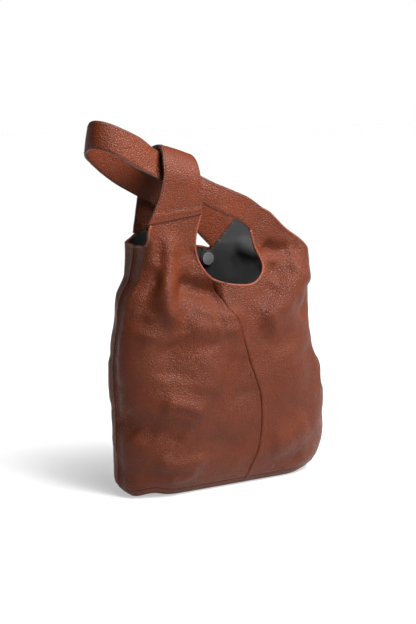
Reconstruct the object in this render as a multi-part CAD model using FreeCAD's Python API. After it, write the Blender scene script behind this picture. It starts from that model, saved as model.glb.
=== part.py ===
# Soft leather shoulder bag: a short handle closes on itself above the left
# side, and a longer handle from the right side passes through it.
#
# Frame: +Z up, -Y is the front, +X is the right as seen from the front.
# The origin is on the floor, under the middle of the base.  Millimetres.
import FreeCAD, Part
import math
import os

Vec = FreeCAD.Vector

# ---- driving dimensions -------------------------------------------------
body_width = 330.0          # widest part of the filled body
front_depth = 68.0          # from the middle plane to the fullest front
back_depth = 64.0           # from the middle plane to the fullest back
shoulder_height = 340.0     # height where the panels turn into flat tabs
shoulder_width = 276.0      # across the body at that height
shoulder_shift = -4.0       # and how far its middle lies to the right
tab_depth = 38.0            # outer face of every tab from the middle plane
tab_corner = 14.0           # corner radius of the body at shoulder height
body_top = 430.0            # the panel blanks end here, above every tab

leather = 1.4               # panel leather
strap_leather = 1.2         # each leather layer of a handle
lining = 0.5                # woven lining
layer_gap = 0.1             # space between two layers sewn together
binding_width = 5.0         # turned edge round every opening
left_tab_edge = -90.0       # turned edges to the left of here are at the left side
right_tab_edge = 60.0       # and to the right of here at the right side
edge_overrun = 12.0         # opening outlines run this far past the body's sides
base_lip = 10.0             # how far the base leather climbs the walls
back_seam = 0.0             # place of the middle seam at the back

left_opening = 346.0        # lowest point of the opening at the left side
right_opening = 316.0       # lowest point of the opening at the right side
front_mouth = 290.5         # lowest point of the front edge of the mouth
back_mouth = 336.0          # lowest point of the back edge of the mouth

tongue_length = 18.0        # how far a tab runs up between handle layers
sewn_length = 24.0          # flat end of a handle, sewn over the tongue
filler_gap = 2.4            # between the end of a tongue and the filler
seam_overhang = 4.0         # a handle's end may stand this far past its seam
cover_height = 60.0         # height of the room kept free for a handle's end
lining_drop = 0.4           # the lining ends this far below such a seam
hinge_gap = 10.0            # soft stretch of a handle that bends

ring_radius = 37.3          # middle of the short handle where it turns over
ring_left_centre = 444.5    # height of that turn's centre at its left edge
ring_right_centre = 429.0   # and at its right edge
ring_hinge_height = 419.0   # the short handle bends at this height
front_end_lean = 3.0        # its sewn end is this much wider at the left, front
back_end_lean = 1.0         # and back
ring_taper = 5.0            # its left edge comes in by this much up to the turn
ring_steps = 12             # straight stretches round that turn
route_steps = 3             # straight stretches between two route stations

magnet_radius = 9.0
magnet_thickness = 2.5
patch_radius = 12.0         # leather patch that holds a magnet
patch_rim = 1.0             # least thickness of that patch
front_magnet_drop = 21.0    # magnet centre below the mouth edge, front
back_magnet_drop = 20.0     # and back
magnet_x = 8.0

pocket_width = 104.0        # zip pocket sewn to the back lining
pocket_height = 97.0
pocket_top = 262.0
pocket_cloth = 0.6
pocket_face_gap = 3.5       # least room between pocket face and lining
zip_length = 90.0
zip_drop = 14.0             # zip line below the top of the pocket
zip_slot = 11.0             # height of the slot behind the zip
tape_width = 9.0
tape_thickness = 0.5
tooth_size = 1.1
tooth_pitch = 3.0
tooth_parting = 1.0         # space between the two rows of teeth
slider_length = 9.0
slider_height = 8.0
slider_plate = 1.0
slide_clearance = 0.35
pull_length = 22.0
pull_width = 6.0
pull_thickness = 1.2
bail_radius = 0.8
bail_reach = 3.0            # bail bar stands this far off the slider
stop_length = 2.5

# Side profile of the filled body: height as a share of the shoulder height,
# sideways shift, then half width, front and back depth as shares of their
# largest values, then how much of the half width and depth is rounded off.
profile = (
    (0.000, -4.0, 0.836, 0.500, 0.530, 0.30, 0.70),
    (0.035, 1.0, 0.927, 0.680, 0.720, 0.40, 0.75),
    (0.118, 7.0, 0.976, 0.853, 0.875, 0.55, 0.80),
    (0.265, 8.0, 1.000, 0.971, 0.969, 0.62, 0.82),
    (0.441, 3.5, 0.985, 1.000, 1.000, 0.65, 0.82),
    (0.618, -6.0, 0.921, 0.941, 0.938, 0.62, 0.82),
    (0.765, -6.0, 0.891, 0.853, 0.844, 0.50, 0.78),
    (0.882, -5.0, 0.867, 0.735, 0.719, 0.30, 0.62),
)

# The middle seam of the front hangs off line: its sideways place and height.
front_seam_line = ((15, -20), (20, 0), (26, 28), (32, 49), (34, 63), (36, 90),
                   (35, 117), (32.5, 136), (27, 153), (20.5, 173), (16.5, 185),
                   (6, 219), (0, 236), (-6, 248), (-16, 262), (-25, 282),
                   (-30, 310), (-31, 350), (-31, 450))

# ---- handle routes: (upper edge, lower edge) pairs on the middle surface
# Short handle: its right and left edges in the plane of each tab.
front_left_seam = (Vec(-44, 0, 390), Vec(-126, 0, 380))
back_left_seam = (Vec(-40, 0, 378), Vec(-111, 0, 360))
ring_front_edges = (-46.0, -107.0)      # right and left where it bends
ring_top_edges = (-40.0, -89.0)
ring_back_edges = (-38.0, -102.0)

# Long handle: its upper and lower edges.
front_right_seam = (Vec(50, 0, 395), Vec(31, 0, 366))
front_right_run = Vec(-0.83, 0, 0.56)   # direction in which it leaves
back_right_seam = (Vec(50, 0, 369), Vec(14, 0, 332))
back_right_run = Vec(-0.72, 0, 0.69)
front_leg_route = (
    (Vec(4, -36.5, 420), Vec(-14, -36.5, 390)),
    (Vec(-22, -32, 431), Vec(-38, -32.5, 402)),
    (Vec(-44, -24, 443), Vec(-60, -30, 416)),
    (Vec(-68, -17, 457), Vec(-82, -30, 427)),
    (Vec(-89, -10, 470), Vec(-102, -29, 437)),
)
loop_route = (
    (Vec(-104, -12, 478), Vec(-117, -29, 445)),
    (Vec(-128, -19, 494), Vec(-140, -29, 457)),
    (Vec(-152, -22, 505), Vec(-162, -28, 469)),
    (Vec(-174, -20, 514), Vec(-180, -23, 478)),
    (Vec(-187, -11, 517), Vec(-193, -12, 481)),
    (Vec(-190, 0, 515), Vec(-195, 2, 477)),
    (Vec(-187, 12, 508), Vec(-192, 14, 469)),
    (Vec(-175, 22, 497), Vec(-182, 21, 460)),
    (Vec(-154, 27, 481), Vec(-163, 27, 445)),
    (Vec(-130, 28, 465), Vec(-141, 30, 430)),
    (Vec(-108, 28, 452), Vec(-118, 30, 417)),
)
back_leg_route = (
    (Vec(-92, 28, 443), Vec(-103, 30, 409)),
    (Vec(-66, 29, 430), Vec(-78, 31, 396)),
    (Vec(-38, 31, 416), Vec(-52, 32, 382)),
    (Vec(-12, 34, 402), Vec(-28, 35, 369)),
    (Vec(16, 37, 391), Vec(-12, 36.8, 357)),
)

half_width = body_width / 2
tab_middle = tab_depth - leather / 2
layer_inner = leather / 2 + layer_gap
layer_outer = layer_inner + strap_leather
lining_face = leather + layer_gap + lining      # leather face to lining face
far = 400.0                                     # beyond every piece


# ---- body blank ---------------------------------------------------------
def profile_at(height):
    """Profile row at a height, straight between the named rows."""
    rows = [section_size(row) for row in profile]
    rows.append([shoulder_height, shoulder_shift, shoulder_width / 2,
                 tab_depth, tab_depth, tab_corner, tab_corner])
    for low, high in zip(rows, rows[1:]):
        if height <= high[0]:
            break
    share = (min(height, shoulder_height) - low[0]) / (high[0] - low[0])
    return [a + (b - a) * share for a, b in zip(low[1:], high[1:])]


def section_size(row):
    """Height, shift, half width, depths and corner radii in millimetres."""
    height, shift, width, front, back, round_x, round_y = row
    half = width * half_width
    deep = min(front * front_depth, back * back_depth)
    return [height * shoulder_height, shift, half, front * front_depth,
            back * back_depth, round_x * half, round_y * deep]


def quarter(start, corner, end):
    """Quarter ellipse from start to end, bulging towards the corner."""
    pull = 4.0 / 3.0 * (math.sqrt(2.0) - 1.0)
    curve = Part.BezierCurve()
    curve.setPoles([start, start + (corner - start) * pull,
                    end + (corner - end) * pull, end])
    return curve.toShape()


def section(height, size, inset):
    """Level outline of the body: four flats and four rounded corners."""
    shift, half, front, back, rx, ry = size
    left = shift - half + inset
    right = shift + half - inset
    near = -front + inset
    rear = back - inset
    rx = rx - inset
    ry = ry - inset

    def at(x, y):
        return Vec(x, y, height)

    edges = [
        Part.makeLine(at(left + rx, near), at(right - rx, near)),
        quarter(at(right - rx, near), at(right, near), at(right, near + ry)),
        Part.makeLine(at(right, near + ry), at(right, rear - ry)),
        quarter(at(right, rear - ry), at(right, rear), at(right - rx, rear)),
        Part.makeLine(at(right - rx, rear), at(left + rx, rear)),
        quarter(at(left + rx, rear), at(left, rear), at(left, rear - ry)),
        Part.makeLine(at(left, rear - ry), at(left, near + ry)),
        quarter(at(left, near + ry), at(left, near), at(left + rx, near)),
    ]
    return Part.Wire(edges)


def blank(inset):
    """Solid body, moved inwards by the inset, straight above the shoulder."""
    levels = [inset]
    levels += [row[0] * shoulder_height for row in profile[1:]]
    levels.append(shoulder_height)
    wires = [section(z, profile_at(z), inset) for z in levels]
    lower = Part.makeLoft(wires, True, False)
    top = section(shoulder_height, profile_at(shoulder_height), inset)
    upper = Part.Face(top).extrude(Vec(0, 0, body_top - shoulder_height))
    return lower.fuse(upper).removeSplitter()


# ---- outlines of the openings, seen from the front ----------------------
def offset_points(points, distance):
    """Points of a smooth curve moved sideways, to its right-hand side."""
    curve = Part.BSplineCurve()
    curve.interpolate(points)
    count = 4 * len(points)
    moved = []
    for i in range(count + 1):
        u = curve.FirstParameter + i * (curve.LastParameter - curve.FirstParameter) / count
        run = curve.tangent(u)[0]
        moved.append(curve.value(u) + Vec(run.z, 0, -run.x) * distance)
    return moved


def smooth(points):
    """Edge through the points."""
    curve = Part.BSplineCurve()
    curve.interpolate(points)
    return curve.toShape()


def opening(side, distance):
    """Block of everything above the leather, grown by a distance.

    side is -1 for the front half and 1 for the back half.
    """
    curves = [offset_points(points, distance) if distance else list(points)
              for points in edge_curves(side)]
    first = curves[0][0]
    last = curves[-1][-1]
    edges = []
    for i, points in enumerate(curves):
        edges.append(smooth(points))
        if i + 1 < len(curves):
            edges.append(Part.makeLine(points[-1], curves[i + 1][0]))
    edges.append(Part.makeLine(last, Vec(far, 0, last.z)))
    edges.append(Part.makeLine(Vec(far, 0, last.z), Vec(far, 0, 2 * far)))
    edges.append(Part.makeLine(Vec(far, 0, 2 * far), Vec(-far, 0, 2 * far)))
    edges.append(Part.makeLine(Vec(-far, 0, 2 * far), Vec(-far, 0, first.z)))
    edges.append(Part.makeLine(Vec(-far, 0, first.z), first))
    face = Part.Face(Part.Wire(edges))
    return face.extrude(Vec(0, side * far, 0))


def tongue_end(seam, run):
    """The two corners of a tongue above its seam: right one, left one."""
    return [corner + run * tongue_length for corner in seam]


def edge_curves(side):
    """Left side edge, mouth edge and right side edge of one half."""
    reach = body_width / 2 + edge_overrun
    low = left_opening
    rise = right_opening
    if side < 0:
        ring_top = tongue_end(front_left_seam, Vec(0.06, 0, 1.0))
        ring_left = front_left_seam[1] + Vec(0.37, 0, 0.93) * tongue_length
        long_top = tongue_end(front_right_seam, front_right_run)
        left = [Vec(-reach, 0, low), Vec(-147, 0, low), Vec(-137, 0, low + 13),
                front_left_seam[1] - Vec(3, 0, 5), front_left_seam[1], ring_left]
        floor = front_mouth
        mouth = [ring_top[0], front_left_seam[0], Vec(-49, 0, 374), Vec(-53, 0, 353),
                 Vec(-52, 0, floor + 46), Vec(-46, 0, floor + 28),
                 Vec(-33, 0, floor + 13), Vec(-12, 0, floor + 4),
                 Vec(8, 0, floor + 0.5), Vec(28, 0, floor), Vec(41, 0, floor + 7),
                 Vec(49, 0, floor + 21), Vec(47, 0, floor + 34),
                 Vec(40, 0, floor + 47), Vec(36, 0, floor + 60),
                 front_right_seam[1], long_top[1]]
        right = [long_top[0], front_right_seam[0], Vec(64, 0, 388), Vec(77, 0, 376),
                 Vec(90, 0, 364), Vec(119, 0, 344), Vec(132, 0, rise + 14),
                 Vec(140, 0, rise + 4), Vec(152, 0, rise), Vec(reach, 0, rise)]
    else:
        ring_top = tongue_end(back_left_seam, Vec(0.05, 0, 1.0))
        ring_left = back_left_seam[1] + Vec(0.16, 0, 0.99) * tongue_length
        long_top = tongue_end(back_right_seam, back_right_run)
        left = [Vec(-reach, 0, low), Vec(-147, 0, low), Vec(-132, 0, low + 5),
                back_left_seam[1] - Vec(5, 0, 3), back_left_seam[1], ring_left]
        floor = back_mouth
        corner = back_right_seam[1]
        mouth = [ring_top[0], back_left_seam[0], Vec(-42, 0, floor + 25),
                 Vec(-34, 0, floor + 10), Vec(-18, 0, floor + 2),
                 Vec(-4, 0, floor), corner + Vec(-8, 0, 1.2), corner + Vec(-3, 0, 0),
                 corner + Vec(0.2, 0, 0.6), corner + Vec(-0.6, 0, 3.2),
                 corner + back_right_run * 9, long_top[1]]
        right = [long_top[0], back_right_seam[0], Vec(66, 0, 364), Vec(92, 0, 353),
                 Vec(119, 0, 338), Vec(134, 0, rise + 8), Vec(142, 0, rise + 2),
                 Vec(152, 0, rise), Vec(reach, 0, rise)]
    return [left, mouth, right]


def above_seam(seam, run, drop, side):
    """Block over a tab, from a little below its seam upwards."""
    across = (seam[0] - seam[1]).normalize()
    start = seam[0] + across * seam_overhang - run * drop
    end = seam[1] - across * seam_overhang - run * drop
    corners = [start, end, end + run * cover_height,
               start + run * cover_height, start]
    face = Part.Face(Part.makePolygon(corners))
    return face.extrude(Vec(0, side * far, 0))


def over_tabs(side, drop):
    """Both blocks over the tabs of one half."""
    up = Vec(0, 0, 1)
    if side < 0:
        ring = above_seam(front_left_seam, up, drop, side)
        return ring.fuse(above_seam(front_right_seam, front_right_run, drop, side))
    ring = above_seam(back_left_seam, up, drop, side)
    across = (back_right_seam[0] - back_right_seam[1]).normalize()
    return ring.fuse(above_seam(back_right_seam, Vec(-across.z, 0, across.x), drop, side))


def half_box(side):
    """Everything in front of, or behind, the middle plane."""
    low = -far if side < 0 else 0.0
    return Part.makeBox(2 * far, far, 2 * far, Vec(-far, low, -far))


def right_of_seam(side):
    """Everything to the right of the middle seam of one half."""
    if side > 0:
        return Part.makeBox(far, far, 2 * far, Vec(back_seam, 0, -far))
    points = [Vec(x, 0, z) for x, z in front_seam_line]
    low = Vec(far, 0, points[0].z)
    high = Vec(far, 0, points[-1].z)
    edges = [smooth(points), Part.makeLine(points[-1], high),
             Part.makeLine(high, low), Part.makeLine(low, points[0])]
    return Part.Face(Part.Wire(edges)).extrude(Vec(0, side * far, 0))


def above_base():
    """Everything above the base leather."""
    return Part.makeBox(2 * far, 2 * far, far * 2, Vec(-far, -far, base_lip))


def write(name, shape):
    """One STEP file for one named node."""
    shape.exportStep("parts/" + name + ".step")


def group(shapes):
    """Several separate solids as one node."""
    solids = [solid for shape in shapes for solid in shape.Solids]
    return solids[0] if len(solids) == 1 else Part.makeCompound(solids)


# ---- leather panels, linings and bindings --------------------------------
def body_pieces():
    outer = blank(0)
    leather_inner = blank(leather)
    lining_outer = blank(leather + layer_gap)
    cavity = blank(lining_face)
    leather_shell = outer.cut(leather_inner)
    lining_shell = lining_outer.cut(cavity)
    full_shell = outer.cut(cavity)
    walls = leather_shell.common(above_base())
    lining_walls = lining_shell.common(above_base())

    side_bindings = {"left": [], "right": []}
    for side, word in ((-1, "front"), (1, "back")):
        half = half_box(side)
        grown = opening(side, binding_width)
        leather_half = walls.common(half).cut(grown)
        right_side = right_of_seam(side)
        left = leather_half.cut(right_side)
        right = leather_half.common(right_side)
        write(word + "_left_panel", group([left]))
        write(word + "_right_panel", group([right]))

        cloth = lining_walls.common(half).cut(grown)
        write(word + "_lining", group([cloth.cut(over_tabs(side, lining_drop))]))

        band = grown.cut(opening(side, 0)).cut(over_tabs(side, 0))
        bands = full_shell.common(half).common(band)
        mouth = []
        for solid in bands.Solids:
            middle = solid.CenterOfMass.x
            if middle < left_tab_edge:
                side_bindings["left"].append(solid)
            elif middle > right_tab_edge:
                side_bindings["right"].append(solid)
            else:
                mouth.append(solid)
        write(word + "_mouth_binding", group(mouth))
    for word, solids in side_bindings.items():
        write(word + "_side_binding", group(solids))

    write("base_panel", group([leather_shell.cut(above_base())]))
    write("base_lining", group([lining_shell.cut(above_base())]))
    return cavity


# ---- handles --------------------------------------------------------------
def eased(points, share):
    """Point on the smooth curve between the middle two of four points."""
    p0, p1, p2, p3 = points
    s2 = share * share
    s3 = s2 * share
    return (p1 * 2 + (p2 - p0) * share + (p0 * 2 - p1 * 5 + p2 * 4 - p3) * s2
            + (p1 * 3 - p0 - p2 * 3 + p3) * s3) * 0.5


def refined(stations, steps):
    """The same two edges with more stations, along a smooth curve."""
    last = len(stations) - 1
    result = []
    for i in range(last):
        for step in range(steps):
            pair = []
            for edge in (0, 1):
                nearby = [stations[min(max(i + k, 0), last)][edge] for k in (-1, 0, 1, 2)]
                pair.append(eased(nearby, step / steps))
            result.append(tuple(pair))
    result.append(tuple(stations[-1]))
    return result


def outward(stations):
    """Direction out of the handle's face at each station."""
    middles = [(upper + lower) * 0.5 for upper, lower in stations]
    last = len(stations) - 1
    result = []
    for i, (upper, lower) in enumerate(stations):
        run = middles[min(i + 1, last)] - middles[max(i - 1, 0)]
        result.append((upper - lower).cross(run).normalize())
    return result


def strap(stations, low, high, first_out=None, last_out=None):
    """Layer of a handle between two offsets from its middle surface."""
    outs = outward(stations)
    if first_out is not None:
        outs[0] = first_out
    if last_out is not None:
        outs[-1] = last_out
    wires = []
    for (upper, lower), out in zip(stations, outs):
        corners = [upper + out * high, lower + out * high,
                   lower + out * low, upper + out * low]
        wires.append(Part.makePolygon(corners + corners[:1]))
    return Part.makeLoft(wires, True, True)


def plate(corners, side, low, high):
    """Flat layer in the plane of the tabs, between two offsets."""
    base = [Vec(p.x, side * (tab_middle + low), p.z) for p in corners]
    face = Part.Face(Part.makePolygon(base + base[:1]))
    return face.extrude(Vec(0, side * (high - low), 0))


def sewn_end(seam, end, side):
    """Outer layer, backing and filler of one flat sewn end."""
    corners = [seam[0], seam[1], end[1], end[0]]
    outer = plate(corners, side, layer_inner, layer_outer)
    backing = plate(corners, side, -layer_outer, -layer_inner)
    past = []
    for i in (0, 1):
        run = end[i] - seam[i]
        past.append(seam[i] + run * ((tongue_length + filler_gap) / run.Length))
    filler = plate([past[0], past[1], end[1], end[0]], side, -leather / 2, leather / 2)
    return outer, backing, filler


def in_tab_plane(line, side):
    """A line of two corners, moved into the plane of a tab."""
    return [Vec(p.x, side * tab_middle, p.z) for p in line]


def ring_route():
    """Edges of the short handle from its front bend to its back bend."""
    start = ring_hinge_height + hinge_gap / 2
    front = [Vec(x, 0, start) for x in ring_front_edges]
    back = [Vec(x, 0, start) for x in ring_back_edges]
    stations = [tuple(in_tab_plane(front, -1))]
    for i in range(ring_steps + 1):
        turn = math.pi * i / ring_steps
        spread = abs(math.cos(turn))
        ends = ring_front_edges if turn < math.pi / 2 else ring_back_edges
        right = ring_top_edges[0] + (ends[0] - ring_top_edges[0]) * spread
        left = ring_top_edges[1] + (ends[1] + ring_taper - ring_top_edges[1]) * spread
        y = -ring_radius * math.cos(turn)
        rise = ring_radius * math.sin(turn)
        stations.append((Vec(right, y, ring_right_centre + rise),
                         Vec(left, y, ring_left_centre + rise)))
    stations.append(tuple(in_tab_plane(back, 1)))
    return stations


def short_handle():
    stop = ring_hinge_height - hinge_gap / 2
    start = ring_hinge_height + hinge_gap / 2
    sewn = []
    bends = []
    for side, seam, edges, lean in ((-1, front_left_seam, ring_front_edges, front_end_lean),
                                    (1, back_left_seam, ring_back_edges, back_end_lean)):
        end = [Vec(edges[0], 0, stop), Vec(edges[1] - lean, 0, stop)]
        sewn.append(sewn_end(seam, end, side))
        corners = end + [Vec(edges[1], 0, start), Vec(edges[0], 0, start)]
        bends.append(plate(corners, side, -layer_outer, layer_outer))
    write("short_handle_sewn_ends", group([layers[0] for layers in sewn]))
    write("short_handle_sewn_backing", group([layers[1] for layers in sewn]))
    write("short_handle_sewn_filler", group([layers[2] for layers in sewn]))
    write("short_handle_bend", group(bends))

    route = ring_route()
    write("short_handle_ring", strap(route, layer_inner, layer_outer))
    write("short_handle_ring_backing", strap(route, -layer_outer, -layer_inner))
    write("short_handle_ring_filler", strap(route, -leather / 2, leather / 2))


def long_handle():
    front_end = [corner + front_right_run * sewn_length for corner in front_right_seam]
    back_end = [corner + back_right_run * sewn_length for corner in back_right_seam]
    front_sewn = sewn_end(front_right_seam, front_end, -1)
    back_sewn = sewn_end(back_right_seam, back_end, 1)
    front_route = [tuple(in_tab_plane(front_end, -1))] + list(front_leg_route)
    back_route = list(back_leg_route) + [tuple(in_tab_plane(back_end, 1))]
    front_route = refined(front_route, route_steps)
    back_route = refined(back_route, route_steps)
    loop = refined(loop_route, route_steps)

    front_leg = []
    back_leg = []
    bands = ((layer_inner, layer_outer), (-layer_outer, -layer_inner),
             (-leather / 2, leather / 2))
    for i, (low, high) in enumerate(bands):
        leg = strap(front_route, low, high, first_out=Vec(0, -1, 0))
        front_leg.append(leg.fuse(front_sewn[i]).removeSplitter())
        leg = strap(back_route, low, high, last_out=Vec(0, 1, 0))
        back_leg.append(leg.fuse(back_sewn[i]).removeSplitter())
    write("long_handle_front_leg", group([front_leg[0]]))
    write("long_handle_back_leg", group([back_leg[0]]))
    write("long_handle_leg_backing", group([front_leg[1], back_leg[1]]))
    write("long_handle_leg_filler", group([front_leg[2], back_leg[2]]))

    loop_outs = outward(loop)
    front_bend = strap([front_leg_route[-1], loop_route[0]], -layer_outer, layer_outer,
                       first_out=outward(front_route)[-1], last_out=loop_outs[0])
    back_bend = strap([loop_route[-1], back_leg_route[0]], -layer_outer, layer_outer,
                      first_out=loop_outs[-1], last_out=outward(back_route)[0])
    write("long_handle_bend", group([front_bend, back_bend]))
    write("long_handle_loop", strap(loop, layer_inner, layer_outer))
    write("long_handle_loop_backing", strap(loop, -layer_outer, -layer_inner))
    write("long_handle_loop_filler", strap(loop, -leather / 2, leather / 2))


# ---- magnetic closure -------------------------------------------------------
def disc(radius, y_from, y_to, x, z):
    """Round piece lying across the bag, between two depths."""
    low = min(y_from, y_to)
    return Part.makeCylinder(radius, abs(y_to - y_from), Vec(x, low, z), Vec(0, 1, 0))


def wall_depth(height, side):
    """Depth of the lining face at a height."""
    size = profile_at(height)
    return (size[2] if side < 0 else size[3]) - lining_face


def magnets(cavity):
    for side, word, z in ((-1, "front", front_mouth - front_magnet_drop),
                          (1, "back", back_mouth - back_magnet_drop)):
        face = side * (wall_depth(z + patch_radius, side) - patch_rim)
        patch = disc(patch_radius, face, side * far / 2, magnet_x, z).common(cavity)
        seat = side * patch_rim / 2
        socket = disc(magnet_radius, face, face + seat, magnet_x, z)
        tip = face - side * (magnet_thickness - patch_rim / 2)
        button = disc(magnet_radius, face + seat, tip, magnet_x, z)
        write(word + "_magnet_patch", group([patch.cut(socket)]))
        write(word + "_magnet", button)


# ---- zip pocket -------------------------------------------------------------
def block(x, y, z, wide, deep, high):
    """Box centred on a point across and up, starting at a depth."""
    return Part.makeBox(wide, deep, high, Vec(x - wide / 2, y, z - high / 2))


def zip_pocket(cavity):
    face = wall_depth(pocket_top, 1) - pocket_face_gap
    zip_height = pocket_top - zip_drop
    middle = pocket_top - pocket_height / 2
    lining_inner = blank(lining_face + pocket_cloth)
    outside = block(0, face, middle, pocket_width, far, pocket_height).common(cavity)
    inside = block(0, face + pocket_cloth, middle, pocket_width - 2 * pocket_cloth,
                   far, pocket_height - 2 * pocket_cloth).common(lining_inner)
    slot = block(0, face - 1, zip_height, zip_length, 2, zip_slot)
    write("pocket_pouch", group([outside.cut(inside).cut(slot)]))

    tape_face = face - tape_thickness
    row = tooth_parting / 2 + tooth_size / 2
    tape_centre = tooth_parting / 2 + tooth_size / 2 + tape_width / 2
    tapes = []
    teeth = []
    count = int((zip_length - 8) / tooth_pitch)
    for sign in (-1, 1):
        tapes.append(block(0, tape_face, zip_height + sign * tape_centre,
                           zip_length + 6, tape_thickness, tape_width))
        for i in range(count + 1):
            x = (i - count / 2) * tooth_pitch
            z = zip_height + sign * row
            reach = tooth_size * 0.5
            teeth.append(block(x, tape_face - reach / 2, z, tooth_size * 1.4,
                               tape_thickness + reach, tooth_size))
    tooth_block = teeth[0].multiFuse(teeth[1:])
    tape_pair = tapes[0].fuse(tapes[1]).cut(tooth_block)
    write("pocket_zip_tapes", group([tape_pair]))
    write("pocket_zip_teeth", group([tooth_block]))

    tooth_front = tape_face - tooth_size * 0.25
    tooth_back = tape_face + tape_thickness + tooth_size * 0.25
    start = -(zip_length - slider_length) / 2 + stop_length + 1
    front_plate = tooth_front - slide_clearance - slider_plate
    back_plate = tooth_back + slide_clearance
    web = tooth_parting - 2 * 0.3
    bail_y = front_plate - bail_reach
    plates = block(start, front_plate, zip_height, slider_length, slider_plate,
                   slider_height)
    plates = plates.fuse(block(start, back_plate, zip_height, slider_length,
                               slider_plate, slider_height))
    plates = plates.fuse(block(start, front_plate, zip_height, slider_length / 3,
                               back_plate - front_plate + slider_plate, web))
    bail = Part.makeCylinder(bail_radius, slider_length - 1,
                             Vec(start - slider_length / 2 + 0.5, bail_y, zip_height),
                             Vec(1, 0, 0))
    for end in (-1, 1):
        post_x = start + end * (slider_length / 2 - 1)
        bail = bail.fuse(block(post_x, bail_y, zip_height, 1.0,
                               front_plate - bail_y + 0.2, bail_radius * 1.6))
    write("pocket_zip_slider", group([plates.fuse(bail)]))

    eye = Part.makeCylinder(bail_radius + 1.4, 4.0, Vec(start - 2, bail_y, zip_height),
                            Vec(1, 0, 0))
    tab = block(start, bail_y - pull_thickness / 2, zip_height - pull_length / 2,
                pull_width, pull_thickness, pull_length)
    tab = tab.cut(block(start, bail_y - 5, zip_height, pull_width + 1, 10, 5))
    neck = block(start, bail_y - pull_thickness / 2, zip_height - 2.4, 4.0,
                 pull_thickness, 1.6)
    hole = Part.makeCylinder(bail_radius + 0.4, 6.0, Vec(start - 3, bail_y, zip_height),
                             Vec(1, 0, 0))
    write("pocket_zip_pull", group([eye.fuse(neck).fuse(tab).cut(hole)]))

    stops = []
    for end in (-1, 1):
        stop_x = end * (zip_length / 2 - stop_length / 2 + 0.5)
        stops.append(block(stop_x, front_plate, zip_height, stop_length,
                           tape_face - front_plate, 2 * row + tooth_size))
    write("pocket_zip_stops", group(stops))


def main():
    os.makedirs("parts", exist_ok=True)
    cavity = body_pieces()
    short_handle()
    long_handle()
    magnets(cavity)
    zip_pocket(cavity)


main()
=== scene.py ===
# Soft leather shoulder bag: its looks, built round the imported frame.
# The frame's axes: +Z up, -Y is the front, +X is the right from the front.
import math

import bmesh
import bpy
import numpy as np
from bpy.props import FloatProperty, FloatVectorProperty, IntProperty, PointerProperty
from mathutils import Matrix, Vector, noise


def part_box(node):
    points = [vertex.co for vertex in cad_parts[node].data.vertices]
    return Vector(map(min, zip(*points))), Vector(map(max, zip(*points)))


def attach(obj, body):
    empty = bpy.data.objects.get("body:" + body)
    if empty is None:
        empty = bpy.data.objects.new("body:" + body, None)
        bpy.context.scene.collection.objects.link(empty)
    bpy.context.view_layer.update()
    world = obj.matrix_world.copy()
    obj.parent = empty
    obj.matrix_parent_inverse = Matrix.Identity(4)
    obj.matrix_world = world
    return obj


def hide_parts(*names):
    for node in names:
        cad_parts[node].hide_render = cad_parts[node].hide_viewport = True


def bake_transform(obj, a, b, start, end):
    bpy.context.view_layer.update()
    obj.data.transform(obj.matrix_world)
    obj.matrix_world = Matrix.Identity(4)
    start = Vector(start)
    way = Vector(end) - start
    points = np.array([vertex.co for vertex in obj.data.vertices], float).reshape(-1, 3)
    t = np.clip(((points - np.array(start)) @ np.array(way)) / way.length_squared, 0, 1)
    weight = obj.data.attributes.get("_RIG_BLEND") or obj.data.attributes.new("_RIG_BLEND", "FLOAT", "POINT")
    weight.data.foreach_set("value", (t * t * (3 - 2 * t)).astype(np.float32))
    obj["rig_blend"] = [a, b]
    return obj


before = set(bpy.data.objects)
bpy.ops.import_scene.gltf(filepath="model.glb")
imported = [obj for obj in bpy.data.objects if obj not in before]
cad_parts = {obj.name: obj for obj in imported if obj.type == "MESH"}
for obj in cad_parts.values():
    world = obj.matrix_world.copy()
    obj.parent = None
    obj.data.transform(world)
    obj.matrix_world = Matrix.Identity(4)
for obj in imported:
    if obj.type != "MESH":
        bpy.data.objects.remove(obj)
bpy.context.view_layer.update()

bl_info = {
    "name": "Leather Shoulder Bag",
    "version": (1, 0, 0),
    "blender": (4, 5, 0),
    "location": "View3D > Sidebar > Bag",
    "description": "Builds the leather, lining, handles and fittings of a soft bag",
    "category": "Add Mesh",
}

MM = 0.001
BASE_LIP = 10.0             # how far the base leather climbs the walls, mm
TAB_FOOT = 344.0            # above this height the skin is level with its tabs, mm
SEAM_STEPS = (-2.6, -1.2, 0.0, 1.2, 2.6)    # rows of points beside a seam, mm
PANELS = ("front_left_panel", "front_right_panel", "back_left_panel",
          "back_right_panel", "base_panel")
STRAP_HALF = 2.0            # a handle's face stands this far from its middle, mm
CORE_HALF = 0.8             # and the inside of its leather this far, mm
STITCH_HALF = 2.12          # its stitches lie this far out, mm
SEWN_ROWS = (3.0, 14.0)     # rows of stitches across a handle's end, from its tip, mm
SEWN_FLAT = 26.0            # length of a handle's end that lies flat, mm
AWAY = (0.5, 0.866, 0.0)    # level direction from the camera to the bag

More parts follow.
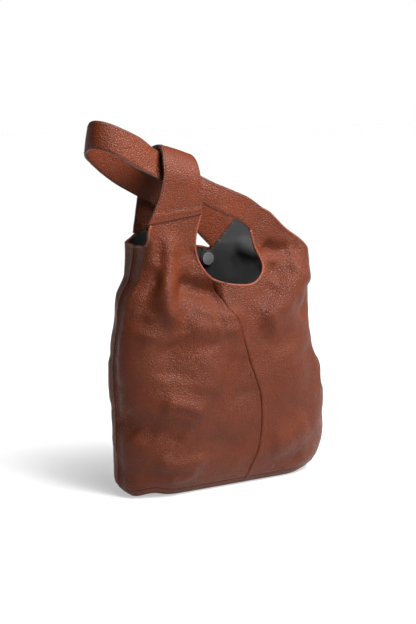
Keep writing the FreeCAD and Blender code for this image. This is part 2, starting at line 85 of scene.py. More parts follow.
# ---- the body's form, in millimetres --------------------------------------
# height, shift, half width, front depth, back depth, corner across, corner
# deep at the front and at the back
BODY_ROWS = (
    (0.0, -4.0, 137.9, 34.0, 33.9, 41.4, 23.8, 23.7),
    (11.9, 1.0, 153.0, 46.2, 46.1, 61.2, 34.6, 34.6),
    (40.1, 7.0, 161.0, 58.0, 56.0, 88.6, 44.8, 44.8),
    (90.1, 8.0, 165.0, 66.0, 62.0, 102.3, 50.9, 50.9),
    (149.9, 3.5, 162.5, 68.0, 64.0, 105.6, 52.5, 52.5),
    (210.1, -6.0, 152.0, 64.0, 60.0, 94.2, 49.2, 49.2),
    (260.1, -6.0, 147.0, 58.0, 54.0, 73.5, 42.1, 42.1),
    (299.9, -5.0, 143.1, 50.0, 46.0, 42.9, 28.5, 28.5),
    (340.0, -4.0, 138.0, 38.0, 38.0, 14.0, 14.0, 14.0),
    (430.0, -4.0, 138.0, 38.0, 38.0, 14.0, 14.0, 14.0),
)
BACK_SEAM = 0.0
# the middle seam of the front hangs off line: its sideways place and height
FRONT_SEAM = ((15, -20), (20, 0), (26, 28), (32, 49), (34, 63), (36, 90), (35, 117),
              (32.5, 136), (27, 153), (20.5, 173), (16.5, 185), (6, 219), (0, 236),
              (-6, 248), (-16, 262), (-25, 282), (-30, 310), (-31, 350), (-31, 450))

# outlines of the leather, seen from the front: left edge, mouth, right edge
FRONT_EDGES = (
    ((-175, 338), (-150, 338), (-139, 352), (-130, 371), (-126, 380), (-119.3, 396.7)),
    ((-42.9, 408), (-44, 390), (-49, 374), (-53, 353), (-52, 336.5), (-46, 318.5),
     (-33, 303.5), (-12, 294.5), (8, 291), (28, 290.5), (41, 297.5), (49, 311.5),
     (47, 324.5), (40, 337.5), (36, 350.5), (31, 366), (16.1, 376.1)),
    ((35.1, 405.1), (50, 395), (64, 388), (77, 376), (90, 364), (119, 344),
     (132, 330), (140, 320), (152, 316), (177, 316)),
)
BACK_EDGES = (
    ((-175, 346), (-147, 346), (-132, 351), (-116, 357), (-111, 360), (-108.1, 377.8)),
    ((-39.1, 396), (-40, 378), (-42, 361), (-34, 346), (-18, 338), (-4, 336),
     (6, 333.2), (11, 332), (14.2, 332.6), (13.4, 335.2), (7.5, 338.2), (1, 344.4)),
    ((40, 384.5), (53, 373), (62, 371), (70, 368), (80, 361), (92, 353), (119, 338), (134, 324),
     (142, 318), (152, 316), (177, 316)),
)
# seams of the four tabs: side, right end, left end
TABS = (
    (-1, (-44, 390), (-126, 380)),
    (-1, (50, 395), (31, 366)),
    (1, (-40, 378), (-111, 360)),
    (1, (50, 369), (14, 332)),
)
# places where the leather can't sink in: magnets and pocket behind it
FIRM = ((-1, (8, 269.5), 15.0), (1, (8, 316), 15.0), (1, (0, 214), 78.0), (1, (0, 268), 66.0))

# folds of the soft leather: face, swell in millimetres, width, path (x, z).
# Face F is the front, B the back; L and R are the sides, with path (y, z).
FOLDS = (
    # front, left of the mouth: a ridge hangs from the tab, the side falls away
    ("F", 10.0, 13, ((-97, 372), (-96, 352), (-99, 332), (-102, 312), (-107, 292),
                    (-108, 275), (-102, 255), (-94, 235))),
    ("F", -7.0, 16, ((-128, 330), (-134, 300), (-137, 265), (-140, 230))),
    ("F", 4.5, 13, ((-128, 268), (-130, 245), (-132, 220))),
    ("F", -3.0, 7, ((-64, 346), (-57, 326), (-61, 309))),
    # the deep fold under the mouth and the belly coming forward below it
    ("F", -17, 16, ((-92, 304), (-74, 299), (-54, 291), (-34, 284), (-14, 281))),
    ("F", -3.0, 4, ((-90, 290), (-74, 286), (-58, 284), (-42, 276))),
    ("F", 9, 20, ((-84, 246), (-56, 240), (-22, 234), (14, 236))),
    ("F", 4.0, 7, ((-72, 262), (-56, 261), (-36, 255), (-16, 250), (8, 250))),
    ("F", -2.0, 3.0, ((-40, 262), (-30, 244), (-27, 224))),
    ("F", 1.8, 3.0, ((-50, 258), (-38, 242), (-34, 226))),
    # front, right of the mouth
    ("F", -8.0, 10, ((52, 344), (64, 336), (80, 330), (100, 328))),
    ("F", 4.5, 5.0, ((54, 318), (69, 321), (84, 324), (106, 328))),
    ("F", -4.5, 9, ((53, 305), (68, 302), (83, 301), (97, 306))),
    ("F", 14.0, 26, ((126, 316), (104, 292), (80, 266), (56, 246), (28, 232))),
    ("F", -6.0, 14, ((134, 286), (124, 258), (108, 232))),
    ("F", -3.0, 12, ((62, 286), (46, 274), (34, 258))),
    # long soft folds of the belly
    ("F", -5.0, 24, ((-104, 226), (-98, 196), (-104, 165))),
    ("F", 4.0, 26, ((-52, 214), (-46, 176), (-52, 140))),
    ("F", -3.5, 20, ((4, 200), (-2, 160), (8, 120))),
    ("F", 4.0, 28, ((76, 205), (90, 160), (84, 110))),
    ("F", -3.5, 16, ((118, 200), (128, 160), (126, 120))),
    # low on the left
    ("F", 7.0, 15, ((-122, 140), (-100, 134), (-78, 126), (-58, 116))),
    ("F", 1.6, 6, ((-104, 120), (-88, 114), (-70, 106))),
    ("F", -1.6, 6, ((-112, 131), (-90, 124), (-66, 115))),
    ("F", -6.0, 15, ((-164, 124), (-150, 112), (-136, 98), (-124, 84))),
    ("F", -2.6, 9, ((-138, 117), (-120, 102), (-104, 90), (-84, 80))),
    ("F", 6.0, 12, ((-128, 60), (-104, 50), (-76, 48), (-44, 52))),
    ("F", 4.0, 7, ((-108, 24), (-84, 28), (-60, 34))),
    ("F", -2.0, 16, ((-60, 84), (-20, 70), (20, 66))),
    ("F", 5.0, 20, ((50, 60), (90, 66), (124, 84))),
    ("F", -3.0, 10, ((60, 26), (90, 26), (116, 34))),
    # left side
    ("L", 3.5, 16, ((-20, 236), (-18, 200), (-22, 160))),
    ("L", -5.0, 14, ((-8, 118), (-24, 104), (-38, 92))),
    ("L", -3.0, 12, ((14, 300), (18, 260), (16, 220))),
    ("L", 3.0, 18, ((20, 200), (22, 160), (18, 120))),
    ("L", -3.0, 14, ((6, 66), (16, 54), (28, 50))),
    # right side
    ("R", -10.0, 13, ((-40, 190), (-14, 185), (14, 181), (38, 187))),
    ("R", -6.5, 10, ((-44, 142), (-14, 134), (12, 130))),
    ("R", -5.0, 8, ((-12, 134), (-24, 112), (-32, 88), (-36, 62))),
    ("R", 4.0, 16, ((-10, 230), (-6, 260), (-8, 290))),
    ("R", 4.0, 14, ((2, 160), (20, 157), (36, 159))),
    ("R", -3.5, 14, ((28, 110), (20, 85), (26, 60))),
    # back
    ("B", -5.0, 11, ((-98, 322), (-70, 324), (-50, 322))),
    ("B", 4.0, 18, ((-92, 290), (-64, 284), (-44, 276))),
    ("B", 7.0, 14, ((-100, 345), (-104, 315), (-108, 280), (-100, 240))),
    ("B", -6.5, 11, ((52, 336), (76, 326), (104, 320))),
    ("B", 9.0, 22, ((118, 304), (100, 276), (84, 246), (76, 216))),
    ("B", -5.0, 18, ((-84, 236), (-92, 190), (-84, 150))),
    ("B", 4.0, 20, ((-20, 152), (0, 132), (30, 124))),
    ("B", -5.0, 18, ((90, 190), (98, 150), (92, 110))),
    ("B", 6.0, 20, ((-112, 130), (-84, 118), (-50, 112))),
    ("B", -6.0, 11, ((-140, 104), (-110, 88), (-76, 82))),
    ("B", 5.0, 18, ((40, 84), (76, 74), (112, 80))),
    ("B", -4.0, 10, ((-60, 52), (0, 46), (60, 50))),
)

# ---- handles: (upper edge, lower edge) pairs on the middle surface ---------
TAB_Y = 37.3
RING_RADIUS = 37.3
SHORT_FRONT = (((-44, -TAB_Y, 390), (-126, -TAB_Y, 380)),
               ((-46, -TAB_Y, 414), (-110, -TAB_Y, 414)),
               ((-46, -TAB_Y, 424), (-107, -TAB_Y, 424)))
SHORT_BACK = (((-38, TAB_Y, 424), (-102, TAB_Y, 424)),
              ((-38, TAB_Y, 414), (-103, TAB_Y, 414)),
              ((-40, TAB_Y, 378), (-111, TAB_Y, 360)))
RING_CENTRES = (429.0, 444.5)
LONG_ROUTE = (
    ((50, -TAB_Y, 395), (31, -TAB_Y, 366)),
    ((30.1, -TAB_Y, 408.4), (11.1, -TAB_Y, 379.4)),
    ((4, -36.5, 420), (-14, -36.5, 390)),
    ((-22, -32, 431), (-38, -32.5, 402)),
    ((-44, -24, 443), (-60, -30, 416)),
    ((-68, -17, 457), (-82, -30, 427)),
    ((-89, -10, 470), (-102, -29, 437)),
    ((-104, -12, 478), (-117, -29, 445)),
    ((-128, -19, 494), (-140, -29, 457)),
    ((-152, -22, 505), (-162, -28, 469)),
    ((-174, -20, 514), (-180, -23, 478)),
    ((-187, -11, 517), (-193, -12, 481)),
    ((-190, 0, 515), (-195, 2, 477)),
    ((-187, 12, 508), (-192, 14, 469)),
    ((-175, 22, 497), (-182, 21, 460)),
    ((-154, 27, 481), (-163, 27, 445)),
    ((-130, 28, 465), (-141, 30, 430)),
    ((-108, 28, 452), (-118, 30, 417)),
    ((-92, 28, 443), (-103, 30, 409)),
    ((-66, 29, 430), (-78, 31, 396)),
    ((-38, 31, 416), (-52, 32, 382)),
    ((-12, 34, 402), (-28, 35, 369)),
    ((16, 37, 391), (-12, 36.8, 357)),
    ((32.7, TAB_Y, 385.6), (-3.3, TAB_Y, 348.6)),
    ((50, TAB_Y, 369), (14, TAB_Y, 332)),
)

made = {}          # what one operator leaves for the next


# ---- sizes and colours a user may change -----------------------------------
def colour_prop(name, text, value):
    return FloatVectorProperty(name=name, description=text, default=value, size=4,
                               min=0.0, max=1.0, subtype="COLOR")


class BAG_PG_leather(bpy.types.PropertyGroup):
    body: colour_prop("Body", "Colour of the body leather", (0.072, 0.0120, 0.0016, 1))
    handle: colour_prop("Handles", "Colour of the handle leather", (0.080, 0.0132, 0.0020, 1))
    edge: colour_prop("Turned edge", "Colour of the turned edges", (0.155, 0.0350, 0.0150, 1))
    paint: colour_prop("Edge paint", "Colour between the handle layers", (0.022, 0.007, 0.004, 1))
    thread: colour_prop("Thread", "Colour of the sewing thread", (0.014, 0.004, 0.002, 1))
    thickness: FloatProperty(name="Thickness", description="Thickness of the body leather",
                             default=1.4 * MM, min=0.0005, max=0.004, unit="LENGTH")
    pebble: FloatProperty(name="Pebble size", description="Size of one pebble of the grain",
                          default=3.3 * MM, min=0.0005, max=0.01, unit="LENGTH")
    relief: FloatProperty(name="Pebble relief", description="How strongly the pebbles stand out",
                          default=0.55, min=0.0, max=1.0, subtype="FACTOR")
    fold: FloatProperty(name="Folds", description="Share of the modelled folds' depth",
                        default=1.0, min=0.0, max=2.0, subtype="FACTOR")


class BAG_PG_body(bpy.types.PropertyGroup):
    columns: IntProperty(name="Columns", description="Columns of the body's grid, all round",
                         default=272, min=64, max=400)
    rows: IntProperty(name="Rows", description="Rows of the body's grid", default=132,
                      min=40, max=200)
    hem_width: FloatProperty(name="Hem width", description="Width of the turned edge",
                             default=3.0 * MM, min=0.001, max=0.012, unit="LENGTH")
    hem_height: FloatProperty(name="Hem height", description="How proud the turned edge stands",
                              default=0.32 * MM, min=0.0001, max=0.002, unit="LENGTH")


class BAG_PG_stitch(bpy.types.PropertyGroup):
    length: FloatProperty(name="Stitch length", description="Length of one stitch",
                          default=3.0 * MM, min=0.001, max=0.01, unit="LENGTH")
    gap: FloatProperty(name="Gap", description="Space between two stitches",
                       default=1.0 * MM, min=0.0002, max=0.004, unit="LENGTH")
    width: FloatProperty(name="Thread width", description="Thickness of the thread",
                         default=1.0 * MM, min=0.0002, max=0.002, unit="LENGTH")
    inset: FloatProperty(name="Inset", description="Row to edge of a handle",
                         default=3.0 * MM, min=0.001, max=0.008, unit="LENGTH")


class BAG_PG_cloth(bpy.types.PropertyGroup):
    lining: colour_prop("Lining", "Colour of the woven lining", (0.0026, 0.0028, 0.0034, 1))
    tape: colour_prop("Zip tape", "Colour of the zip tapes", (0.010, 0.010, 0.011, 1))
    thread_pitch: FloatProperty(name="Weave", description="Distance between two yarns",
                                default=0.9 * MM, min=0.0002, max=0.004, unit="LENGTH")
    slack: FloatProperty(name="Slack", description="How far the lining's creases stand in",
                         default=2.2 * MM, min=0.0, max=0.006, unit="LENGTH")


class BAG_PG_metal(bpy.types.PropertyGroup):
    magnet: colour_prop("Magnet", "Colour of the magnets", (0.42, 0.43, 0.45, 1))
    zip: colour_prop("Zip", "Colour of the zip's metal", (0.35, 0.24, 0.11, 1))


class BAG_PG_stage(bpy.types.PropertyGroup):
    floor: colour_prop("Floor", "Colour of the floor", (0.46, 0.46, 0.46, 1))
    glow: FloatProperty(name="Floor glow", description="Light given off by the floor",
                        default=0.46, min=0.0)
    key: FloatProperty(name="Key light", description="Strength of the key light",
                       default=4.6, min=0.0)
    fill: FloatProperty(name="Softbox", description="Power of the softbox", default=50.0,
                        min=0.0, unit="POWER")
    sky: FloatProperty(name="Surroundings", description="Brightness at eye level",
                       default=1.0, min=0.0)
    dome: FloatProperty(name="Dome", description="Share of that brightness overhead",
                        default=0.16, min=0.0, max=1.0, subtype="FACTOR")


# ---- small tools ------------------------------------------------------------
def smooth_curve(points, count=None, step=None):
    """Points along a smooth curve through the given ones, evenly spaced."""
    pts = np.asarray(points, float)
    length = np.linalg.norm(np.diff(pts, axis=0), axis=1)
    at = np.concatenate([[0], np.cumsum(np.sqrt(length))])
    slope = np.gradient(pts, at, axis=0, edge_order=1)
    fine = np.linspace(0, at[-1], 24 * (len(pts) - 1) + 1)
    line = hermite(at, pts, slope, fine)
    run = run_length(line)
    if count is None:
        count = max(2, int(round(run[-1] / step)) + 1)
    return sample(line, run, np.linspace(0, run[-1], count))


def run_length(line):
    """How far along a line each of its points lies."""
    return np.concatenate([[0], np.cumsum(np.linalg.norm(np.diff(line, axis=0), axis=1))])


def sample(line, run, at):
    """Points of a line at some lengths along it."""
    return np.stack([np.interp(at, run, line[:, k]) for k in range(line.shape[1])], 1)


def hermite(at, values, slope, where):
    """Cubic curve through values with given slopes."""
    i = np.clip(np.searchsorted(at, where, "right") - 1, 0, len(at) - 2)
    h = (at[i + 1] - at[i])[:, None]
    t = ((where - at[i]) / h[:, 0])[:, None]
    a, b = values[i], values[i + 1]
    return (a * (2 * t**3 - 3 * t**2 + 1) + slope[i] * h * (t**3 - 2 * t**2 + t)
            + b * (3 * t**2 - 2 * t**3) + slope[i + 1] * h * (t**3 - t**2))


def ease(value):
    value = np.clip(value, 0, 1)
    return value * value * (3 - 2 * value)


def unit(vectors):
    return vectors / np.maximum(np.linalg.norm(vectors, axis=-1, keepdims=True), 1e-9)


def soft_noise(points, pitch, seed):
    """Smooth noise from -1 to 1 at points in millimetres."""
    shift = Vector((seed * 17.3, seed * 5.1, seed * 9.7))
    return np.array([noise.noise(Vector(p) / pitch + shift) for p in points])


def grid_mesh(rows, cols):
    """A flat grid as a bmesh, with the row and column of each vertex."""
    bm = bmesh.new()
    bmesh.ops.create_grid(bm, x_segments=cols - 1, y_segments=rows - 1, size=1)
    bm.verts.ensure_lookup_table()
    co = np.array([v.co[:] for v in bm.verts])
    col = np.rint((co[:, 0] + 1) / 2 * (cols - 1)).astype(int)
    row = np.rint((co[:, 1] + 1) / 2 * (rows - 1)).astype(int)
    return bm, row, col


def close_up(bm):
    """Joins the rims of a swept form, fills its ends and turns it outwards."""
    bmesh.ops.remove_doubles(bm, verts=bm.verts, dist=0.01 * MM)
    bmesh.ops.holes_fill(bm, edges=[e for e in bm.edges if e.is_boundary], sides=0)
    bmesh.ops.recalc_face_normals(bm, faces=bm.faces)


def place(bm, points):
    for v, p in zip(bm.verts, points):
        v.co = p


def add_object(name, bm, material):
    """A new object from a bmesh whose points are in metres."""
    mesh = bpy.data.meshes.new(name)
    bm.to_mesh(mesh)
    bm.free()
    obj = bpy.data.objects.new(name, mesh)
    bpy.context.scene.collection.objects.link(obj)
    mesh.materials.append(made["materials"][material])
    mesh.shade_smooth()
    return obj


def finish_node(node, material):
    """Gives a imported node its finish."""
    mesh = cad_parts[node].data
    mesh.materials.clear()
    mesh.materials.append(made["materials"][material])


def settle(obj):
    """Applies every modifier of an object."""
    graph = bpy.context.evaluated_depsgraph_get()
    fresh = bpy.data.meshes.new_from_object(obj.evaluated_get(graph))
    obj.modifiers.clear()
    old = obj.data
    name = old.name
    obj.data = fresh
    bpy.data.meshes.remove(old)
    fresh.name = name
    return obj


def thicken(obj, thickness):
    """Gives a sheet its thickness, inwards."""
    solid = obj.modifiers.new("thickness", "SOLIDIFY")
    solid.thickness = thickness
    solid.offset = -1.0
    solid.use_even_offset = False
    settle(obj)
    obj.data.shade_smooth()


# ---- the body's surface -------------------------------------------------------
def body_row(heights):
    """Rows of the body's form at some heights."""
    rows = np.array(BODY_ROWS)
    low, up = rows[:-1], rows[1:]
    step = (up[:, 1:] - low[:, 1:]) / (up[:, :1] - low[:, :1])
    slope = np.zeros_like(rows[:, 1:])
    slope[1:-1] = (step[1:] + step[:-1]) / 2
    slope[0] = step[0] * 1.2
    slope[-2] *= 0.25
    slope[-1] = 0
    at = np.clip(heights, 0, rows[-1, 0])
    return hermite(rows[:, 0], rows[:, 1:], slope, at)


def half_outline(size, side):
    """One half of a level outline, from its left end to its right end."""
    shift, half, front, back, rx, ryf, ryb = size
    deep, ry = (front, ryf) if side < 0 else (back, ryb)
    turn = np.linspace(0, math.pi / 2, 40)
    x = np.concatenate([[shift - half], shift - half + rx * (1 - np.cos(turn)),
                        shift + half - rx * (1 - np.cos(turn[::-1])), [shift + half]])
    y = np.concatenate([[0.0], deep - ry * (1 - np.sin(turn)),
                        deep - ry * (1 - np.sin(turn[::-1])), [0.0]])
    return np.stack([x, side * y], 1)


def body_grid(rows, cols):
    """Points of the body's surface: rows from the floor up, columns round."""
    heights = np.concatenate([np.linspace(0, 30, 14)[:-1],
                              np.linspace(30, 430, rows - 13)])
    sizes = body_row(heights)
    per_half = cols // 2
    points = np.zeros((rows, cols + 1, 3))
    for r, (z, size) in enumerate(zip(heights, sizes)):
        ring = []
        for side in (-1, 1):
            line = half_outline(size, side)
            run = run_length(line)
            part = sample(line, run, np.linspace(0, run[-1], per_half + 1))
            ring.append(part if side < 0 else part[::-1])
        level = np.concatenate([ring[0], ring[1][1:]])
        points[r, :, :2] = level
        points[r, :, 2] = z
    return points


def outline_polygon(edges):
    """Closed outline of the leather of one half, seen from the front."""
    line = []
    for points in edges:
        line += list(smooth_curve(points, step=1.5))
    line += [np.array((260.0, line[-1][1])), np.array((260.0, -60.0)),
             np.array((-260.0, -60.0)), np.array((-260.0, line[0][1]))]
    return np.array(line)


def signed_distance(points, polygon):
    """Distance of (x, z) points to the outline, negative on the leather."""
    a = polygon
    b = np.roll(polygon, -1, axis=0)
    best = np.full(len(points), 1e9)
    inside = np.zeros(len(points), bool)
    for p, q in zip(a, b):
        d = q - p
        t = np.clip(((points - p) @ d) / max(d @ d, 1e-12), 0, 1)
        best = np.minimum(best, np.linalg.norm(points - (p + t[:, None] * d), axis=1))
        crosses = (p[1] > points[:, 1]) != (q[1] > points[:, 1])
        if p[1] != q[1]:
            x = p[0] + (points[:, 1] - p[1]) / (q[1] - p[1]) * d[0]
            inside ^= crosses & (points[:, 0] < x)
    return np.where(inside, -best, best)


def split_at_zero(bm, level, steepest=math.inf):
    """Splits edges where a level passes zero, and joins the new points up."""
    store = bm.verts.layers.float.new("level")
    for v, value in zip(bm.verts, level):
        v[store] = value
    crossed = [e for e in bm.edges if e.verts[0][store] * e.verts[1][store] < 0
               and abs(e.verts[0][store] - e.verts[1][store]) < steepest]
    for e in crossed:
        a, b = e.verts
        _, v = bmesh.utils.edge_split(e, a, a[store] / (a[store] - b[store]))
        v[store] = 0.0
    bmesh.ops.connect_verts(bm, verts=[v for v in bm.verts if v[store] == 0.0])
    return store


def cut_outline(bm):
    """Cuts the openings out of the body's grid, along smooth edges."""
    bm.verts.ensure_lookup_table()
    co = np.array([v.co[:] for v in bm.verts])
    level = np.full(len(co), -50.0)
    for side, edges in ((-1, FRONT_EDGES), (1, BACK_EDGES)):
        polygon = outline_polygon(edges)
        mine = (co[:, 1] < 1e-6) if side < 0 else (co[:, 1] > 1e-6)
        mine &= co[:, 2] > 270
        level[mine] = signed_distance(co[mine][:, [0, 2]], polygon)
    level[np.abs(level) < 0.3] = 0.0
    store = split_at_zero(bm, level)
    gone = [f for f in bm.faces if max(v[store] for v in f.verts) > 1e-5
            or all(v[store] == 0.0 for v in f.verts) and f.calc_center_median().z > 400]
    bmesh.ops.delete(bm, geom=gone, context="FACES")
    bmesh.ops.remove_doubles(bm, verts=[v for v in bm.verts if v[store] == 0.0], dist=0.35)
    bm.verts.layers.float.remove(store)


def above_tab(points, margin=0.0, reach=60.0, wider=2.0):
    """Which points lie over a tab's seam, so that a handle covers them."""
    over = np.zeros(len(points), bool)
    for side, right, left in TABS:
        a, b = np.array(left, float), np.array(right, float)
        across = (b - a) / np.linalg.norm(b - a)
        up = np.array((-across[1], across[0]))
        rel = points[:, [0, 2]] - a
        s, t = rel @ across, rel @ up
        over |= ((points[:, 1] * side > 0) & (t > margin) & (t < reach)
                 & (s > -wider) & (s < np.linalg.norm(b - a) + wider))
    return over


def tab_calm(points):
    """0 where a tab has to stay flat under its handle, 1 away from it."""
    calm = np.ones(len(points))
    for side, right, left in TABS:
        a, b = np.array(left, float), np.array(right, float)
        d = b - a
        rel = points[:, [0, 2]] - a
        share = (rel @ d) / (d @ d)
        t = np.clip(share, 0, 1)
        gap = np.linalg.norm(rel - t[:, None] * d, axis=1)
        high = (rel @ np.array((-d[1], d[0])) / np.linalg.norm(d)) > 0
        gap = np.where(high & (share == t) & (gap < 60), 0, gap)
        near = 1 - ease((gap - 2) / 26)
        calm = np.where(points[:, 1] * side > 0, np.minimum(calm, 1 - near), calm)
    return calm


def firm_limit(points, move):
    """Keeps the leather from sinking into what sits behind it."""
    for side, middle, radius in FIRM:
        gap = np.linalg.norm(points[:, [0, 2]] - np.array(middle, float), axis=1)
        free = ease((gap - radius) / 44) * 40 + 0.4
        here = points[:, 1] * side > 0
        move = np.where(here, np.maximum(move, -free), move)
    return move


def path_distance(points, path):
    """Distance to a path and how far along it, from 0 to 1."""
    line = smooth_curve(path, count=30) if len(path) > 2 else np.array(path, float)
    best = np.full(len(points), 1e9)
    along = np.zeros(len(points))
    n = len(line) - 1
    for i in range(n):
        p, d = line[i], line[i + 1] - line[i]
        t = np.clip(((points - p) @ d) / max(d @ d, 1e-12), 0, 1)
        gap = np.linalg.norm(points - (p + t[:, None] * d), axis=1)
        closer = gap < best
        best = np.where(closer, gap, best)
        along = np.where(closer, (i + t) / n, along)
    return best, along


def face_weight(normals, face):
    """How much points belong to a face of the body, by their normals."""
    side = {"F": -normals[:, 1], "B": normals[:, 1], "L": -normals[:, 0], "R": normals[:, 0]}
    return ease((side[face] - 0.1) / 0.35)


def fold_swell(points, normals, strength):
    """Outward move of each point from the folds of the soft leather."""
    swell = np.zeros(len(points))
    waver = soft_noise(points, 26.0, 3)
    for face, height, width, path in FOLDS:
        flat = points[:, [0, 2]] if face in "FB" else points[:, [1, 2]]
        flat = flat + np.stack([waver, -waver], 1) * width * 0.18
        gap, along = path_distance(flat, path)
        ends = ease(along / 0.22) * ease((1 - along) / 0.22)
        swell += (height * np.exp(-(gap / width) ** 2) * (0.1 + 0.9 * ends)
                  * face_weight(normals, face))
    dents = (2.6 * soft_noise(points, 78.0, 1) + 1.1 * soft_noise(points, 34.0, 5)
             + 0.4 * soft_noise(points, 14.0, 8))
    foot = ease(points[:, 2] / 26)
    return (swell * strength + dents * ease(points[:, 2] / 50)) * foot


def seam_profile(gap, groove, lips):
    """Cross-section of a sewn seam: a groove between two soft lips."""
    return (-groove * np.exp(-(gap / 1.1) ** 2)
            + lips * np.exp(-((np.abs(gap) - 3.0) / 1.7) ** 2))


def seam_swell(points, normals):
    """Outward move from the seams: middle front and back, sides, base."""
    x, y, z = points.T
    pucker = 1 + 0.35 * soft_noise(points * np.array((0.2, 0.2, 1.0)), 8.0, 12)
    front = np.where(y < 0, face_weight(normals, "F"), 0)
    gap = seam_gap(points)
    back = np.where(y > 0, face_weight(normals, "B"), 0)
    sides = np.clip(np.abs(normals[:, 0]) * 1.2, 0, 1) * ease((z - 8) / 10)
    move = front * seam_profile(gap, 0.55, 0.35) * pucker
    move += front * 0.6 * np.exp(-((gap - 4) / 4) ** 2) * (gap > 0)
    move += back * seam_profile(x - BACK_SEAM, 0.9, 0.45) * pucker
    move += sides * seam_profile(y, 1.3, 1.6) * pucker
    move += seam_profile(z - BASE_LIP, 1.1, 0.4)
    return move


def seam_gap(points):
    """How far points lie to the right of the front's middle seam."""
    line = smooth_curve(FRONT_SEAM, step=2.0)
    place_at = np.interp(points[:, 2], line[:, 1], line[:, 0])
    lean = np.interp(points[:, 2], line[:, 1], np.gradient(line[:, 0], line[:, 1]))
    return (points[:, 0] - place_at) / np.sqrt(1 + lean**2)


def cut_along(bm, measure, belongs):
    """New points and edges where a measure of the skin is zero."""
    bm.verts.ensure_lookup_table()
    co = np.array([v.co[:] for v in bm.verts])
    level = np.where(belongs(co), measure(co), 99.0)
    level[np.abs(level) < 0.22] = 0.0
    bm.verts.layers.float.remove(split_at_zero(bm, level, steepest=30))


def slim_shoulder(points):
    """Draws the left shoulder in under its armhole and slants its edge."""
    x, y, z = points.T
    left = ease((-x - 96) / 40)
    drawn = ease((z - 262) / 44) * left
    fresh = points.copy()
    high = ease((z - 345) / 25)
    share = high * ease((50 - np.abs(y)) / 36) + (1 - high) * ease((64 - np.abs(y)) / 26)
    fresh[:, 0] += (6 + 8 * ease((z - 270) / 34)) * drawn * share
    deep = np.clip(np.abs(y) / 38, 0, 1)
    rise = 3.0 * np.sin(math.pi * deep) * ease((z - 300) / 40) * ease((-x - 112) / 16)
    fresh[:, 2] += np.where(y < 0, rise, 0.7 * rise)
    return fresh


def shape_body(props):
    """The whole skin of the body, with each face marked with its panel."""
    rows, cols = props.body.rows, props.body.columns
    grid = body_grid(rows, cols)
    bm, row, col = grid_mesh(rows, cols + 1)
    place(bm, grid[row, col])
    bmesh.ops.remove_doubles(bm, verts=bm.verts, dist=0.01)
    rim = [e for e in bm.edges if e.is_boundary and e.verts[0].co.z < 1]
    for share in (0.94, 0.76, 0.55, 0.3):
        out = bmesh.ops.extrude_edge_only(bm, edges=rim)["geom"]
        verts = [g for g in out if isinstance(g, bmesh.types.BMVert)]
        rim = [g for g in out if isinstance(g, bmesh.types.BMEdge) and g.is_boundary]
        bmesh.ops.scale(bm, vec=(share, share, 1), verts=verts,
                        space=Matrix.Translation((4, 0, 0)))
    bmesh.ops.holes_fill(bm, edges=rim, sides=0)
    bmesh.ops.recalc_face_normals(bm, faces=bm.faces)
    cut_outline(bm)
    for step in SEAM_STEPS:
        cut_along(bm, lambda co: seam_gap(co) - step, lambda co: (co[:, 1] < -1) & (co[:, 2] > 2))
        cut_along(bm, lambda co: co[:, 0] - BACK_SEAM - step,
                  lambda co: (co[:, 1] > 1) & (co[:, 2] > 2))
        if step:
            cut_along(bm, lambda co: co[:, 1] - step,
                      lambda co: (np.abs(co[:, 0]) > 95) & (np.abs(co[:, 1]) < 14)
                      & (co[:, 2] > 2))
    cut_along(bm, lambda co: co[:, 2] - BASE_LIP, lambda co: co[:, 2] < 24)
    seam = smooth_curve(FRONT_SEAM, step=2.0)
    for f in bm.faces:
        c = f.calc_center_median()
        if c.z < BASE_LIP:
            f.material_index = PANELS.index("base_panel")
            continue
        front = c.y < 0
        left = c.x < (np.interp(c.z, seam[:, 1], seam[:, 0]) if front else BACK_SEAM)
        f.material_index = (0 if front else 2) + (0 if left else 1)
    bm.normal_update()
    co = np.array([v.co[:] for v in bm.verts])
    no = np.array([v.normal[:] for v in bm.verts])
    no[co[:, 2] > TAB_FOOT, 2] = 0
    no = unit(no)
    calm = tab_calm(co) * ease(co[:, 2] / 12)
    move = firm_limit(co, fold_swell(co, no, props.leather.fold) * calm)
    move += seam_swell(co, no) * np.where(co[:, 2] > 3, calm, 0)
    fresh = slim_shoulder(co + no * move[:, None])
    lift = np.exp(-(((co[:, 0] + 122) / 20) ** 2 + ((co[:, 1] + 40) / 20) ** 2))
    fresh[:, 2] += 7.0 * lift * (1 - ease(co[:, 2] / 45))
    fresh[:, 2] = np.maximum(fresh[:, 2], 0.0)
    place(bm, fresh * MM)
    bm.normal_update()
    return bm


def part_of(bm, index):
    """A copy of the faces marked with one panel."""
    copy = bm.copy()
    bmesh.ops.delete(copy, geom=[f for f in copy.faces if f.material_index != index],
                     context="FACES")
    for f in copy.faces:
        f.material_index = 0
    return copy


def boundary_chains(bm):
    """The skin's upper edge as open chains between the tabs."""
    edges = [e for e in bm.edges if e.is_boundary and e.verts[0].co.z > 0.2]
    links = {}
    for e in edges:
        for v in e.verts:
            links.setdefault(v, []).append(e.other_vert(v))
    start = next(iter(links))
    order, last, here = [start], None, start
    while True:
        step = [v for v in links[here] if v is not last]
        if not step or step[0] is start:
            break
        last, here = here, step[0]
        order.append(here)
    co = np.array([v.co[:] for v in order]) / MM
    no = np.array([v.normal[:] for v in order])
    inner = np.array([np.mean([f.calc_center_median()[:] for f in v.link_faces], axis=0)
                      for v in order]) / MM
    over = above_tab(co, margin=-0.5, wider=7.0)
    first = int(np.argmax(over))
    turn = np.roll(np.arange(len(order)), -first)
    chains, run = [], []
    for i in turn:
        if over[i]:
            if len(run) > 8:
                chains.append(run)
            run = []
        else:
            run.append(i)
    if len(run) > 8:
        chains.append(run)
    return [(co[c], no[c], inner[c]) for c in chains]


